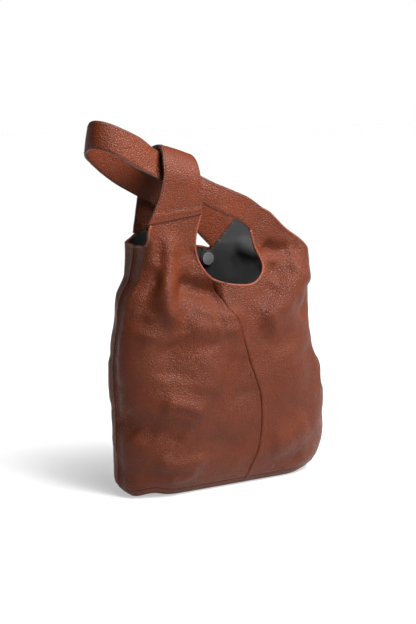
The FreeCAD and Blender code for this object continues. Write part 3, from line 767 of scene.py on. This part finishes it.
# ---- materials ------------------------------------------------------------------
class Nodes:
    """Short words for building a material's nodes."""

    def __init__(self, name):
        self.material = bpy.data.materials.new(name)
        self.material.use_nodes = True
        self.tree = self.material.node_tree
        self.shader = self.tree.nodes["Principled BSDF"]

    def add(self, kind, values=None, **settings):
        node = self.tree.nodes.new(kind)
        for key, value in settings.items():
            setattr(node, key, value)
        for key, value in (values or {}).items():
            if isinstance(value, bpy.types.NodeSocket):
                self.tree.links.new(value, node.inputs[key])
            else:
                node.inputs[key].default_value = value
        return node

    def link(self, a, b):
        self.tree.links.new(a, b)

    def place(self, attribute=None):
        if attribute:
            return self.add("ShaderNodeUVMap", uv_map=attribute).outputs["UV"]
        return self.add("ShaderNodeTexCoord").outputs["Object"]

    def stretched(self, where, scale):
        node = self.add("ShaderNodeMapping", {"Vector": where})
        node.inputs["Scale"].default_value = scale
        return node.outputs[0]

    def math(self, operation, a, b=0.0):
        return self.add("ShaderNodeMath", {0: a, 1: b}, operation=operation).outputs[0]

    def spread(self, value, low, high, to_low=0.0, to_high=1.0):
        return self.add("ShaderNodeMapRange", {"Value": value, "From Min": low, "From Max": high,
                                               "To Min": to_low, "To Max": to_high}).outputs[0]

    def mix(self, factor, a, b):
        node = self.add("ShaderNodeMix", data_type="RGBA")
        for index, value in ((0, factor), (6, a), (7, b)):
            if isinstance(value, bpy.types.NodeSocket):
                self.link(value, node.inputs[index])
            else:
                node.inputs[index].default_value = value
        return node.outputs[2]

    def noise(self, where, scale, detail=2.0, rough=0.5):
        return self.add("ShaderNodeTexNoise", {"Vector": where, "Scale": scale,
                                               "Detail": detail, "Roughness": rough}).outputs[0]

    def cells(self, where, scale, feature="F1"):
        return self.add("ShaderNodeTexVoronoi", {"Vector": where, "Scale": scale},
                        feature=feature).outputs["Distance"]

    def bump(self, height, distance, strength, normal=None):
        values = {"Height": height, "Distance": distance, "Strength": strength}
        if normal is not None:
            values["Normal"] = normal
        return self.add("ShaderNodeBump", values).outputs[0]

    def finish(self, **values):
        names = {"color": "Base Color", "rough": "Roughness", "metal": "Metallic",
                 "normal": "Normal", "coat": "Coat Weight", "coat_rough": "Coat Roughness",
                 "sheen": "Sheen Weight", "sheen_rough": "Sheen Roughness",
                 "specular": "Specular IOR Level"}
        for key, value in values.items():
            socket = self.shader.inputs[names[key]]
            if isinstance(value, bpy.types.NodeSocket):
                self.link(value, socket)
            else:
                socket.default_value = value
        return self.material


def shade(colour, amount):
    return tuple(min(1.0, c * amount) for c in colour[:3]) + (1.0,)


def leather_material(name, colour, leather, rough=0.40, relief=1.0):
    """Pebbled leather: rounded cells, fine pores, uneven dye, painted shade in the dips between pebbles,
    worn tops.
    """
    n = Nodes(name)
    where = n.place()
    wobble = n.add("ShaderNodeVectorMath", {0: n.add(
        "ShaderNodeTexNoise", {"Vector": where, "Scale": 260.0, "Detail": 1.0}).outputs[1]},
        operation="SCALE")
    wobble.inputs["Scale"].default_value = 0.0016
    spot = n.add("ShaderNodeVectorMath", {0: where, 1: wobble.outputs[0]},
                 operation="ADD").outputs[0]
    scale = 1.0 / leather.pebble
    edge = n.cells(spot, scale, "DISTANCE_TO_EDGE")
    dome = n.spread(edge, 0.0, 0.32)
    dome = n.math("POWER", dome, 0.55)
    small = n.spread(n.cells(spot, scale * 2.3, "DISTANCE_TO_EDGE"), 0.0, 0.25)
    pores = n.noise(where, 2600.0, 3.0, 0.6)
    height = n.math("ADD", dome, n.math("MULTIPLY", small, 0.22))
    height = n.math("ADD", height, n.math("MULTIPLY", pores, 0.12))
    broad = n.noise(where, 9.0, 3.0, 0.55)
    middle = n.noise(where, 46.0, 3.0, 0.6)
    tone = n.mix(n.spread(broad, 0.30, 0.70), shade(colour, 0.80), shade(colour, 1.16))
    tone = n.mix(n.spread(middle, 0.35, 0.75, 0.0, 0.45), tone, shade(colour, 1.28))
    # painted shade: darker towards the cells' edges, in the dips between the pebbles
    tone = n.mix(n.spread(edge, 0.0, 0.10, 0.55, 0.0), tone, shade(colour, 0.42))
    worn = n.noise(where, 130.0, 2.0, 0.5)
    gloss = n.math("ADD", n.spread(worn, 0.3, 0.7, -0.05, 0.06),
                   n.spread(edge, 0.0, 0.12, rough + 0.16, rough))
    normal = n.bump(height, 0.0012, leather.relief * relief)
    creases = n.spread(n.cells(n.stretched(spot, (1.0, 1.0, 0.55)), 95.0,
                               "DISTANCE_TO_EDGE"), 0.0, 0.16)
    normal = n.bump(n.math("MULTIPLY", creases, n.spread(broad, 0.42, 0.62)), 0.0010,
                    0.30 * relief, normal)
    normal = n.bump(middle, 0.0022, 0.25, normal)
    return n.finish(color=tone, rough=gloss, normal=normal, specular=0.17)


def paint_material(name, colour):
    """Painted cut edge: slightly uneven, half gloss, darker in its dips."""
    n = Nodes(name)
    where = n.place()
    grain = n.noise(where, 420.0, 3.0, 0.6)
    tone = n.mix(n.spread(grain, 0.3, 0.7), shade(colour, 0.6), shade(colour, 1.5))
    return n.finish(color=tone, rough=n.spread(grain, 0.3, 0.7, 0.34, 0.5),
                    normal=n.bump(grain, 0.0004, 0.35), coat=0.1, coat_rough=0.3)


def thread_material(name, colour):
    """Twisted thread: slanted strands along every stitch."""
    n = Nodes(name)
    where = n.place()
    strands = n.add("ShaderNodeTexWave", {"Vector": where, "Scale": 900.0, "Distortion": 1.0,
                                          "Detail": 1.0}, wave_type="BANDS",
                    bands_direction="DIAGONAL").outputs[1]
    fuzz = n.noise(where, 2400.0, 2.0, 0.6)
    tone = n.mix(strands, shade(colour, 0.55), shade(colour, 1.15))
    tone = n.mix(n.spread(fuzz, 0.4, 0.7, 0.0, 0.4), tone, shade(colour, 1.4))
    return n.finish(color=tone, rough=0.62, normal=n.bump(strands, 0.0002, 0.5), sheen=0.2,
                    sheen_rough=0.4)


def weave_material(name, colour, pitch, rough=0.8, sheen=0.35):
    """Plain weave on the cloth's own flat layout, with uneven yarns."""
    n = Nodes(name)
    flat = n.place("flat")
    where = n.place()
    split = n.add("ShaderNodeSeparateXYZ", {0: flat})
    drift = n.noise(where, 60.0, 2.0, 0.5)
    rate = math.pi / pitch
    warp = n.math("SINE", n.math("ADD", n.math("MULTIPLY", split.outputs[0], rate),
                                 n.math("MULTIPLY", drift, 2.0)))
    weft = n.math("SINE", n.math("MULTIPLY", split.outputs[1], rate))
    over = n.math("MULTIPLY", n.math("ABSOLUTE", warp), n.math("ABSOLUTE", weft))
    checker = n.spread(n.math("MULTIPLY", warp, weft), -0.25, 0.25)
    slub = n.noise(where, 300.0, 3.0, 0.6)
    tone = n.mix(n.spread(over, 0.0, 0.8), shade(colour, 0.45), shade(colour, 1.5))
    tone = n.mix(n.math("MULTIPLY", checker, 0.35), tone, shade(colour, 2.1))
    tone = n.mix(n.spread(slub, 0.45, 0.75, 0.0, 0.5), tone, shade(colour, 2.4))
    return n.finish(color=tone, rough=rough, normal=n.bump(over, 0.00035, 0.6),
                    sheen=sheen, sheen_rough=0.45)


def metal_material(name, colour, rough, brushed=True):
    """Plated metal: fine turned lines, faint tarnish, small scratches."""
    n = Nodes(name)
    where = n.place()
    along = n.stretched(where, (1.0, 1.0, 14.0 if brushed else 1.0))
    lines = n.noise(along, 420.0, 3.0, 0.6)
    tarnish = n.noise(where, 160.0, 3.0, 0.55)
    tone = n.mix(n.spread(tarnish, 0.35, 0.7, 0.0, 0.55), colour, shade(colour, 0.5))
    gloss = n.math("ADD", n.spread(lines, 0.3, 0.7, -0.06, 0.08),
                   n.spread(tarnish, 0.35, 0.7, rough, rough + 0.16))
    return n.finish(color=tone, rough=gloss, metal=1.0, normal=n.bump(lines, 0.00008, 0.4))


def make_materials(props):
    leather, cloth, metal = props.leather, props.cloth, props.metal
    made["materials"] = {
        "body": leather_material("body_leather", leather.body, leather),
        "handle": leather_material("handle_leather", leather.handle, leather, 0.42, 0.8),
        "edge": leather_material("edge_leather", leather.edge, leather, 0.40, 0.5),
        "paint": paint_material("edge_paint", leather.paint),
        "thread": thread_material("thread", leather.thread),
        "lining": weave_material("lining_weave", cloth.lining, cloth.thread_pitch, 0.85, 0.03),
        "tape": weave_material("zip_tape_weave", cloth.tape, cloth.thread_pitch * 0.8),
        "magnet": metal_material("magnet_steel", metal.magnet, 0.34),
        "zip": metal_material("antique_brass", metal.zip, 0.30, False),
    }


# ---- stitches -----------------------------------------------------------------
def stitch_spots(line, ups, props):
    """Middle, run and up direction of each stitch along a line, in mm."""
    pitch = (props.stitch.length + props.stitch.gap) / MM
    run = run_length(line)
    count = max(1, int(run[-1] / pitch))
    at = (np.arange(count) + 0.5) * run[-1] / count
    ahead, behind = np.clip(at + 0.6, 0, run[-1]), np.clip(at - 0.6, 0, run[-1])
    near = sample(line, run, ahead) - sample(line, run, behind)
    return sample(line, run, at), unit(near), unit(sample(ups, run, at))


def add_stitches(name, rows, props):
    """One mesh of short rounded stitches along several lines."""
    bm = bmesh.new()
    size = props.stitch
    for line, ups in rows:
        for mid, run, up in zip(*stitch_spots(np.asarray(line), np.asarray(ups), props)):
            x, z = Vector(run), Vector(up)
            y = z.cross(x).normalized()
            z = x.cross(y).normalized()
            turn = Matrix((x, y, z)).transposed().to_4x4()
            stretch = Matrix.Diagonal((size.length / 2, size.width / 2, size.width * 0.36, 1))
            where = Matrix.Translation(Vector(mid) * MM)
            bmesh.ops.create_icosphere(bm, subdivisions=1, radius=1.0,
                                       matrix=where @ turn @ stretch)
    return add_object(name, bm, "thread")


# ---- edges of the openings ---------------------------------------------------------
def hem_frame(chain):
    """Even points of an edge with their outward and face directions."""
    co, no, inner = chain
    keep = np.concatenate([[True], np.linalg.norm(np.diff(co, axis=0), axis=1) > 0.4])
    co, no, inner = co[keep], no[keep], inner[keep]
    run = run_length(co)
    even = np.linspace(0, run[-1], max(8, int(run[-1] / 2.5)))
    points, normals, away = (sample(values, run, even) for values in (co, no, co - inner))
    for _ in range(6):
        points[1:-1] = (points[:-2] + 2 * points[1:-1] + points[2:]) / 4
        normals[1:-1] = (normals[:-2] + 2 * normals[1:-1] + normals[2:]) / 4
        away[1:-1] = (away[:-2] + 2 * away[1:-1] + away[2:]) / 4
    normals = unit(normals)
    tangent = unit(np.gradient(points, axis=0))
    normals = unit(normals - tangent * np.sum(normals * tangent, 1)[:, None])
    out = np.cross(tangent, normals)
    flip = np.sign(np.sum(out * away, 1))
    flip[flip == 0] = 1
    out *= np.sign(np.sum(flip))
    return points, normals, out


def add_hem(name, chain, props):
    """A turned edge: a rounded strip folded over the leather's rim."""
    points, normals, out = hem_frame(chain)
    wide, proud = props.body.hem_width / MM, props.body.hem_height / MM
    thick = props.leather.thickness / MM
    section = np.array(((-wide, 0.05), (-wide + 0.5, proud), (-wide * 0.5, proud * 1.1),
                        (-0.8, proud * 1.15), (-0.05, proud * 0.4), (0.3, -thick * 0.45),
                        (0.1, -thick * 1.2), (-0.8, -thick - 1.15), (-wide * 0.5, -thick - 1.3),
                        (-wide, -thick - 1.2), (-wide - 0.2, -thick * 0.6)))
    count, sides = len(points), len(section)
    ripple = 1 + 0.18 * soft_noise(points, 7.0, 21)
    bm, row, col = grid_mesh(count, sides + 1)
    corner = section[col % sides]
    outer = corner[:, 1] > 0
    height = np.where(outer, corner[:, 1] * ripple[row], corner[:, 1])
    where = points[row] + out[row] * corner[:, :1] + normals[row] * height[:, None]
    place(bm, where * MM)
    close_up(bm)
    obj = add_object(name, bm, "edge")
    row_line = points - out * (wide - 1.1) + normals * (proud + 0.15)
    return obj, (row_line, normals)


# ---- handles ----------------------------------------------------------------------
def ring_stations():
    """Edges of the short handle over its turn, from front to back."""
    stations = []
    for i in range(13):
        turn = math.pi * i / 12
        spread = abs(math.cos(turn))
        ends = (-46.0, -107.0) if turn < math.pi / 2 else (-38.0, -102.0)
        right = -40.0 + (ends[0] + 40.0) * spread
        left = -89.0 + (ends[1] + 5.0 + 89.0) * spread
        y = -RING_RADIUS * math.cos(turn)
        rise = RING_RADIUS * math.sin(turn)
        stations.append(((right, y, RING_CENTRES[0] + rise), (left, y, RING_CENTRES[1] + rise)))
    return tuple(stations)


def strap_frame(stations, step):
    """Even stations of a handle: upper and lower edge and outward direction."""
    pairs = np.array(stations, float)
    line = smooth_curve(pairs.reshape(len(pairs), 6), step=step * 1.45)
    upper, lower = line[:, :3], line[:, 3:]
    middle = (upper + lower) / 2
    run = run_length(middle)
    out = unit(np.cross(upper - lower, np.gradient(middle, axis=0)))
    for _ in range(4):
        out[1:-1] = unit(out[:-2] + 2 * out[1:-1] + out[2:])
    for i, at in enumerate(run):
        if at < SEWN_FLAT:
            out[i] = (0, -1, 0)
        elif at > run[-1] - SEWN_FLAT:
            out[i] = (0, 1, 0)
    return upper, lower, out, run


def strap_point(line, share, height):
    """Points of a handle: a share across for every station, and a height out."""
    upper, lower, out, run = line
    middle = (upper + lower) / 2
    calm = np.minimum(ease((run - 30) / 30), ease((run[-1] - 30 - run) / 30))
    cup = 0.3 - 0.9 * (2 * share - 1) ** 2
    if "ripple" not in made or made["ripple"][0] is not upper:
        made["ripple"] = (upper, soft_noise(middle, 42.0, 30), soft_noise(middle, 30.0, 31))
    ripple = 0.5 * made["ripple"][1] + 0.6 * (2 * share - 1) * made["ripple"][2]
    if height > 0:
        for at in SEWN_ROWS:
            for row in (run - at, run[-1] - at - run):
                height = height - 0.45 * np.exp(-(row / 1.2) ** 2)
        between = sum(SEWN_ROWS) / 2
        for row in (run - between, run[-1] - between - run):
            height = height + 0.5 * np.exp(-(row / 3.2) ** 2)
    return (lower + (upper - lower) * np.asarray(share)[:, None]
            + out * (height + calm * (cup + ripple))[:, None])


def add_layer(name, line, low, high, inset, material, nodes, across=13):
    """One layer of a handle, between two heights over its middle surface."""
    upper, lower = line[:2]
    count = len(upper)
    width = np.linalg.norm(upper - lower, axis=1)
    sides = 2 * across
    bm, row, col = grid_mesh(count, sides + 1)
    shares = np.linspace(0, 1, across)
    points = np.zeros((count, sides + 1, 3))
    for k in range(sides + 1):
        j = k % sides
        top = j < across
        share = shares[j] if top else shares[sides - 1 - j]
        at = inset / width + share * (1 - 2 * inset / width)
        rounding = 0.35 * min(1.0, (high - low) / 1.2) if share in (0.0, 1.0) else 0.0
        height = high - rounding if top else low + rounding
        points[:, k] = strap_point(line, at, height)
    place(bm, points[row, col] * MM)
    close_up(bm)
    obj = add_object(name, bm, material)
    rim = obj.modifiers.new("rim", "BEVEL")
    rim.width = 0.3 * MM
    rim.segments = 2
    rim.limit_method = "ANGLE"
    rim.angle_limit = math.radians(48)
    settle(obj)
    obj.data.shade_smooth()
    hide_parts(*nodes)
    return obj


def handle_rows(line, props):
    """Stitch rows of a handle: along both edges, outside and inside."""
    upper, lower, out, run = line
    width = np.linalg.norm(upper - lower, axis=1)
    inset = props.stitch.inset / MM / width
    rows = []
    for sign in (1.0, -1.0):
        for share in (inset, 1 - inset):
            edge = strap_point(line, share, sign * STITCH_HALF)
            rows.append((edge[2:-2], out[2:-2] * sign))
    for end in (0, -1):
        for depth in SEWN_ROWS:
            at = depth if end == 0 else run[-1] - depth
            i = int(np.argmin(np.abs(run - at)))
            for sign in (1.0, -1.0):
                a = strap_point(line, inset, sign * STITCH_HALF)[i]
                b = strap_point(line, 1 - inset, sign * STITCH_HALF)[i]
                rows.append((np.array([a + (b - a) * t for t in np.linspace(0, 1, 12)]),
                             np.tile(out[i] * sign, (12, 1))))
    return rows


def add_handle(name, stations, nodes, body, start, end, props):
    """All layers and stitches of one handle, bent between two bodies."""
    line = strap_frame(stations, 3.0)
    pieces = [
        add_layer(name + "_outer_leather", line, CORE_HALF, STRAP_HALF, 0.0, "handle",
                  nodes["outer"]),
        add_layer(name + "_edge_paint", line, -1.5, 1.5, -0.3, "paint",
                  nodes["filler"], 5),
        add_layer(name + "_inner_leather", line, -STRAP_HALF, -CORE_HALF, 0.0, "handle",
                  nodes["backing"]),
        add_stitches(name + "_stitches", handle_rows(line, props), props),
    ]
    for piece in pieces:
        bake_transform(piece, "bag", body, start=start, end=end)
    return pieces


# ---- operators -------------------------------------------------------------------
class BagOperator:
    """What every operator of the bag shares."""

    bl_options = {"REGISTER", "UNDO"}

    @property
    def props(self):
        return bpy.context.scene.bag


class BAG_OT_materials(BagOperator, bpy.types.Operator):
    """Make the leather, cloth, thread and metal materials"""

    bl_idname = "bag.materials"
    bl_label = "Materials"

    def execute(self, context):
        make_materials(self.props)
        return {"FINISHED"}


class BAG_OT_skin(BagOperator, bpy.types.Operator):
    """Shape the folded leather skin and cut it into its five panels"""

    bl_idname = "bag.skin"
    bl_label = "Leather panels"

    def execute(self, context):
        bm = shape_body(self.props)
        made["skin"] = bm
        for index, name in enumerate(PANELS):
            obj = add_object(name.replace("panel", "leather"), part_of(bm, index), "body")
            thicken(obj, self.props.leather.thickness)
            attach(obj, "bag")
            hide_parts(name)
        return {"FINISHED"}


class BAG_OT_lining(BagOperator, bpy.types.Operator):
    """Hang the woven lining inside the leather"""

    bl_idname = "bag.lining"
    bl_label = "Lining"

    def execute(self, context):
        props = self.props
        inset = props.leather.thickness + 0.5 * MM
        for name, marks in (("front_lining", (0, 1)), ("back_lining", (2, 3)),
                            ("base_lining", (4,))):
            bm = made["skin"].copy()
            co = np.array([v.co[:] for v in bm.verts]) / MM
            no = np.array([v.normal[:] for v in bm.verts])
            over = above_tab(co, margin=0.5, wider=6.0)
            rim = np.array([v.is_boundary for v in bm.verts])
            slack = (0.5 + 0.5 * soft_noise(co, 30.0, 40)) ** 2 * props.cloth.slack
            slack = np.where(rim | (co[:, 2] > 340), 0, slack) * ease((co[:, 2] - 8) / 30)
            place(bm, co * MM - no * (inset + slack)[:, None])
            gone = [f for f in bm.faces if f.material_index not in marks
                    or any(over[v.index] for v in f.verts)]
            bmesh.ops.delete(bm, geom=gone, context="FACES")
            if name == "base_lining":
                for v in bm.verts:
                    v.co.z = max(v.co.z, inset)
            layout = bm.loops.layers.uv.new("flat")
            for f in bm.faces:
                f.material_index = 0
                for loop in f.loops:
                    x, y, z = loop.vert.co
                    if name == "base_lining":
                        loop[layout].uv = (x, y)
                    else:
                        around = x + math.copysign(0.068 - abs(y), x) * (abs(x) > 0.09)
                        loop[layout].uv = (around, z)
            area = sum(f.calc_area() for f in bm.faces)
            obj = add_object(name + "_cloth", bm, "lining")
            thicken(obj, 0.3 * MM)
            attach(obj, "bag")
            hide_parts(name)
            made[name] = (obj, area)
        sizes = {"front_lining": (0.44, 0.40), "back_lining": (0.44, 0.38),
                 "base_lining": (0.31, 0.12)}
        for name, (wide, long) in sizes.items():
            obj, area = made[name]
        return {"FINISHED"}


class BAG_OT_hems(BagOperator, bpy.types.Operator):
    """Fold the turned edges over the openings and stitch them"""

    bl_idname = "bag.hems"
    bl_label = "Turned edges"

    def execute(self, context):
        rows = []
        chains = boundary_chains(made["skin"])
        if len(chains) != 4:
            raise RuntimeError(f"expected 4 open edges, found {len(chains)}")
        for chain in chains:
            middle = chain[0].mean(0)
            if middle[0] < -90:
                name = "left_side_binding"
            elif middle[0] > 60:
                name = "right_side_binding"
            else:
                name = "front_mouth_binding" if middle[1] < 0 else "back_mouth_binding"
            obj, row = add_hem(name.replace("binding", "hem"), chain, self.props)
            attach(obj, "bag")
            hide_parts(name)
            rows.append(row)
        stitches = add_stitches("opening_stitches", rows, self.props)
        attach(stitches, "bag")
        return {"FINISHED"}


class BAG_OT_short_handle(BagOperator, bpy.types.Operator):
    """Build the short handle from its front tab over to its back tab"""

    bl_idname = "bag.short_handle"
    bl_label = "Short handle"

    def execute(self, context):
        nodes = {"outer": ("short_handle_sewn_ends", "short_handle_ring", "short_handle_bend"),
                 "filler": ("short_handle_sewn_filler", "short_handle_ring_filler"),
                 "backing": ("short_handle_sewn_backing", "short_handle_ring_backing")}
        stations = SHORT_FRONT + ring_stations() + SHORT_BACK
        add_handle("short_handle", stations, nodes, "short_handle", (0, 0, 0.408),
                   (0, 0, 0.430), self.props)
        return {"FINISHED"}


class BAG_OT_long_handle(BagOperator, bpy.types.Operator):
    """Build the long handle from the right tabs through the short handle"""

    bl_idname = "bag.long_handle"
    bl_label = "Long handle"

    def execute(self, context):
        nodes = {"outer": ("long_handle_front_leg", "long_handle_back_leg",
                           "long_handle_loop", "long_handle_bend"),
                 "filler": ("long_handle_leg_filler", "long_handle_loop_filler"),
                 "backing": ("long_handle_leg_backing", "long_handle_loop_backing")}
        add_handle("long_handle", LONG_ROUTE, nodes, "long_handle_loop",
                   (-0.072, 0, 0.448), (-0.140, 0, 0.484), self.props)
        return {"FINISHED"}


class BAG_OT_magnets(BagOperator, bpy.types.Operator):
    """Set the magnets in their leather patches"""

    bl_idname = "bag.magnets"
    bl_label = "Magnets"

    def execute(self, context):
        rows = []
        for word, side in (("front", 1), ("back", -1)):
            low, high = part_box(word + "_magnet_patch")
            mid = (low + high) / 2
            radius = (high.x - low.x) / 2
            face = high.y if side > 0 else low.y
            back = low.y if side > 0 else high.y
            profile = ((0.0, 0.5), (0.62, 0.5), (0.72, 0.6), (0.80, 0.95), (0.90, 1.0),
                       (0.98, 0.8), (1.0, 0.6), (0.98, 0.45))
            bm = bmesh.new()
            depth = abs(face - back)
            verts = [bm.verts.new((mid.x + r * radius, back + side * h * depth, mid.z))
                     for r, h in profile]
            edges = [bm.edges.new(pair) for pair in zip(verts, verts[1:])]
            bmesh.ops.spin(bm, geom=verts + edges, cent=mid, axis=(0, 1, 0),
                           angle=math.tau, steps=48, use_merge=True, use_duplicate=False)
            close_up(bm)
            obj = add_object(word + "_patch_leather", bm, "body")
            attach(obj, "bag")
            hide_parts(word + "_magnet_patch")
            turn = np.linspace(0, math.tau, 49)
            line = np.stack([mid.x + 0.90 * radius * np.cos(turn),
                             np.full(49, back + side * depth * 1.02),
                             mid.z + 0.90 * radius * np.sin(turn)], 1) / MM
            rows.append((line, np.tile((0, float(side), 0), (49, 1))))
            finish_node(word + "_magnet", "magnet")
        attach(add_stitches("magnet_stitches", rows, self.props), "bag")
        return {"FINISHED"}


class BAG_OT_pocket(BagOperator, bpy.types.Operator):
    """Sew the zip pocket's cloth and finish its zip"""

    bl_idname = "bag.pocket"
    bl_label = "Zip pocket"

    def execute(self, context):
        low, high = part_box("pocket_pouch")
        slot_low, slot_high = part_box("pocket_zip_teeth")
        mid_z = (slot_low.z + slot_high.z) / 2
        wide, tall = high.x - low.x, high.z - low.z
        rows, cols = 60, 64
        bm, row, col = grid_mesh(rows, cols)
        u, v = col / (cols - 1), row / (rows - 1)
        x = low.x + wide * u
        z = low.z + tall * v
        swell = np.clip(np.sin(math.pi * u) * np.sin(math.pi * v), 0, 1) ** 0.5
        crease = 0.0006 * soft_noise(np.stack([x, x * 0, z], 1) / MM, 22.0, 50)
        y = low.y + 0.0035 + (1 - swell) * 0.002 + crease * swell
        near = np.exp(-((z - mid_z) / 0.012) ** 2)
        y = y * (1 - near) + (low.y + 0.0006) * near
        y = np.minimum(y, body_row(z / MM)[:, 3] * MM - 0.0042)
        place(bm, np.stack([x, y, z], 1))
        hole = [f for f in bm.faces if abs(f.calc_center_median().z - mid_z) < 0.0035
                and slot_low.x < f.calc_center_median().x < slot_high.x]
        bmesh.ops.delete(bm, geom=hole, context="FACES")
        rear = bmesh.new()
        bmesh.ops.create_grid(rear, x_segments=30, y_segments=28, size=1)
        for vert in rear.verts:
            a, b = (vert.co.x + 1) / 2, (vert.co.y + 1) / 2
            deep = math.sqrt(max(0.0, math.sin(math.pi * a) * math.sin(math.pi * b)))
            up = low.z + tall * b
            wall = body_row(np.array([up / MM]))[0][3] * MM - 0.0030
            vert.co = (low.x + wide * a, min(low.y + 0.0062 + 0.004 * deep, wall), up)
        for name, part, away in (("pocket_front_cloth", bm, -1), ("pocket_rear_cloth", rear, 1)):
            layout = part.loops.layers.uv.new("flat")
            for f in part.faces:
                for loop in f.loops:
                    loop[layout].uv = (loop.vert.co.x, loop.vert.co.z)
            bmesh.ops.recalc_face_normals(part, faces=part.faces)
            part.normal_update()
            if sum(f.normal.y for f in part.faces) * away < 0:
                bmesh.ops.reverse_faces(part, faces=part.faces)
            area = sum(f.calc_area() for f in part.faces)
            obj = add_object(name, part, "lining")
            thicken(obj, 0.4 * MM)
            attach(obj, "bag")
            if away < 0:
                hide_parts("pocket_pouch")
        for node, key in (("pocket_zip_tapes", "tape"), ("pocket_zip_teeth", "zip"),
                          ("pocket_zip_slider", "zip"), ("pocket_zip_pull", "zip"),
                          ("pocket_zip_stops", "zip")):
            finish_node(node, key)
        return {"FINISHED"}


def lay_floor(props):
    """Pale floor that glows softly round the bag and behind it."""
    n = Nodes("floor_paper")
    grain = n.noise(n.place(), 40.0, 4.0, 0.6)
    tone = n.mix(grain, shade(props.floor, 0.99), props.floor)
    n.finish(color=tone, rough=0.9, specular=0.1)
    n.shader.inputs["Emission Color"].default_value = (1.0, 1.0, 1.0, 1.0)
    ahead = n.add("ShaderNodeVectorMath", {0: n.place(), 1: AWAY},
                  operation="DOT_PRODUCT").outputs["Value"]
    n.link(n.spread(ahead, -1.0, -0.55, props.glow * 0.12, props.glow),
           n.shader.inputs["Emission Strength"])
    made["materials"]["floor"] = n.material
    bm = bmesh.new()
    bmesh.ops.create_grid(bm, x_segments=8, y_segments=8, size=9.0)
    for v in bm.verts:
        v.co.z = -0.6 * MM
    add_object("floor", bm, "floor")


def light_surroundings(scene, props):
    """Surroundings that are bright at eye level behind the bag, dim elsewhere."""
    world = scene.world or bpy.data.worlds.new("surroundings")
    scene.world = world
    world.use_nodes = True
    tree = world.node_tree

    def add(kind, settings, *links, operation=None):
        node = tree.nodes.new(kind)
        if operation:
            node.operation = operation
        for key, value in settings.items():
            node.inputs[key].default_value = value
        for key, socket in links:
            tree.links.new(socket, node.inputs[key])
        return node.outputs

    look = add("ShaderNodeTexCoord", {})["Generated"]
    height = add("ShaderNodeSeparateXYZ", {}, (0, look))[2]
    overhead = add("ShaderNodeMapRange", {"From Min": 0.045, "From Max": 0.09, "To Min": 1.0,
                                          "To Max": props.dome}, ("Value", height))[0]
    facing = add("ShaderNodeVectorMath", {1: AWAY}, (0, look), operation="DOT_PRODUCT")["Value"]
    behind = add("ShaderNodeMapRange", {"From Min": -0.2, "From Max": 0.4, "To Min": 0.42},
                 ("Value", facing))[0]
    light = add("ShaderNodeMath", {}, (0, overhead), (1, behind), operation="MULTIPLY")[0]
    back = tree.nodes["Background"]
    back.inputs["Strength"].default_value = props.sky
    tree.links.new(light, back.inputs["Color"])


def hang_lamp(scene, lamp, aim, place_at=(0, 0, 0)):
    """Puts a lamp or a camera in the scene, looking along a direction."""
    obj = bpy.data.objects.new(lamp.name, lamp)
    obj.location = place_at
    obj.rotation_euler = Vector(aim).to_track_quat("-Z", "Y").to_euler()
    scene.collection.objects.link(obj)
    return obj


class BAG_OT_stage(BagOperator, bpy.types.Operator):
    """Lay the floor and set the light and the camera"""

    bl_idname = "bag.stage"
    bl_label = "Stage"

    def execute(self, context):
        props = self.props.stage
        scene = context.scene
        lay_floor(props)
        light_surroundings(scene, props)
        sun = bpy.data.lights.new("key", "SUN")
        sun.energy = props.key
        sun.angle = math.radians(64)
        hang_lamp(scene, sun, (-0.46, 0.62, -0.84))
        box = bpy.data.lights.new("softbox", "AREA")
        box.energy = props.fill
        box.size = 0.7
        place_at, target = Vector((0.35, -0.70, 1.35)), Vector((0, 0, 0.25))
        hang_lamp(scene, box, target - place_at, place_at)
        camera = bpy.data.cameras.new("camera")
        camera.lens = 77.74
        camera.sensor_width = 36.0
        camera.clip_end = 60.0
        scene.camera = hang_lamp(scene, camera, (0.49163, 0.85151, -0.18224),
                                 (-0.947, -1.618, 0.592))
        scene.view_settings.view_transform = "Standard"
        return {"FINISHED"}


STEPS = (BAG_OT_materials, BAG_OT_skin, BAG_OT_lining, BAG_OT_hems, BAG_OT_short_handle,
         BAG_OT_long_handle, BAG_OT_magnets, BAG_OT_pocket, BAG_OT_stage)


class BAG_PG_all(bpy.types.PropertyGroup):
    leather: PointerProperty(type=BAG_PG_leather, name="Leather", description="Leather")
    body: PointerProperty(type=BAG_PG_body, name="Body", description="Body")
    stitch: PointerProperty(type=BAG_PG_stitch, name="Stitches", description="Stitches")
    cloth: PointerProperty(type=BAG_PG_cloth, name="Cloth", description="Cloth")
    metal: PointerProperty(type=BAG_PG_metal, name="Metal", description="Metal")
    stage: PointerProperty(type=BAG_PG_stage, name="Stage", description="Stage")


class BAG_PT_panel(bpy.types.Panel):
    """Every piece of the bag and its sizes"""

    bl_idname = "BAG_PT_panel"
    bl_label = "Leather Shoulder Bag"
    bl_space_type = "VIEW_3D"
    bl_region_type = "UI"
    bl_category = "Bag"

    def draw(self, context):
        props = context.scene.bag
        for group in (props.leather, props.body, props.stitch, props.cloth, props.metal,
                      props.stage):
            box = self.layout.box()
            for name in group.bl_rna.properties.keys():
                if name not in ("rna_type", "name"):
                    box.prop(group, name)
        for step in STEPS:
            self.layout.operator(step.bl_idname)


CLASSES = (BAG_PG_leather, BAG_PG_body, BAG_PG_stitch, BAG_PG_cloth, BAG_PG_metal,
           BAG_PG_stage, BAG_PG_all) + STEPS + (BAG_PT_panel,)


def register():
    for cls in CLASSES:
        bpy.utils.register_class(cls)
    bpy.types.Scene.bag = PointerProperty(type=BAG_PG_all)


def unregister():
    del bpy.types.Scene.bag
    for cls in reversed(CLASSES):
        bpy.utils.unregister_class(cls)


def main():
    register()
    for step in STEPS:
        group, name = step.bl_idname.split(".")
        getattr(getattr(bpy.ops, group), name)()
    made.pop("skin").free()


if __name__ == "__main__":
    main()
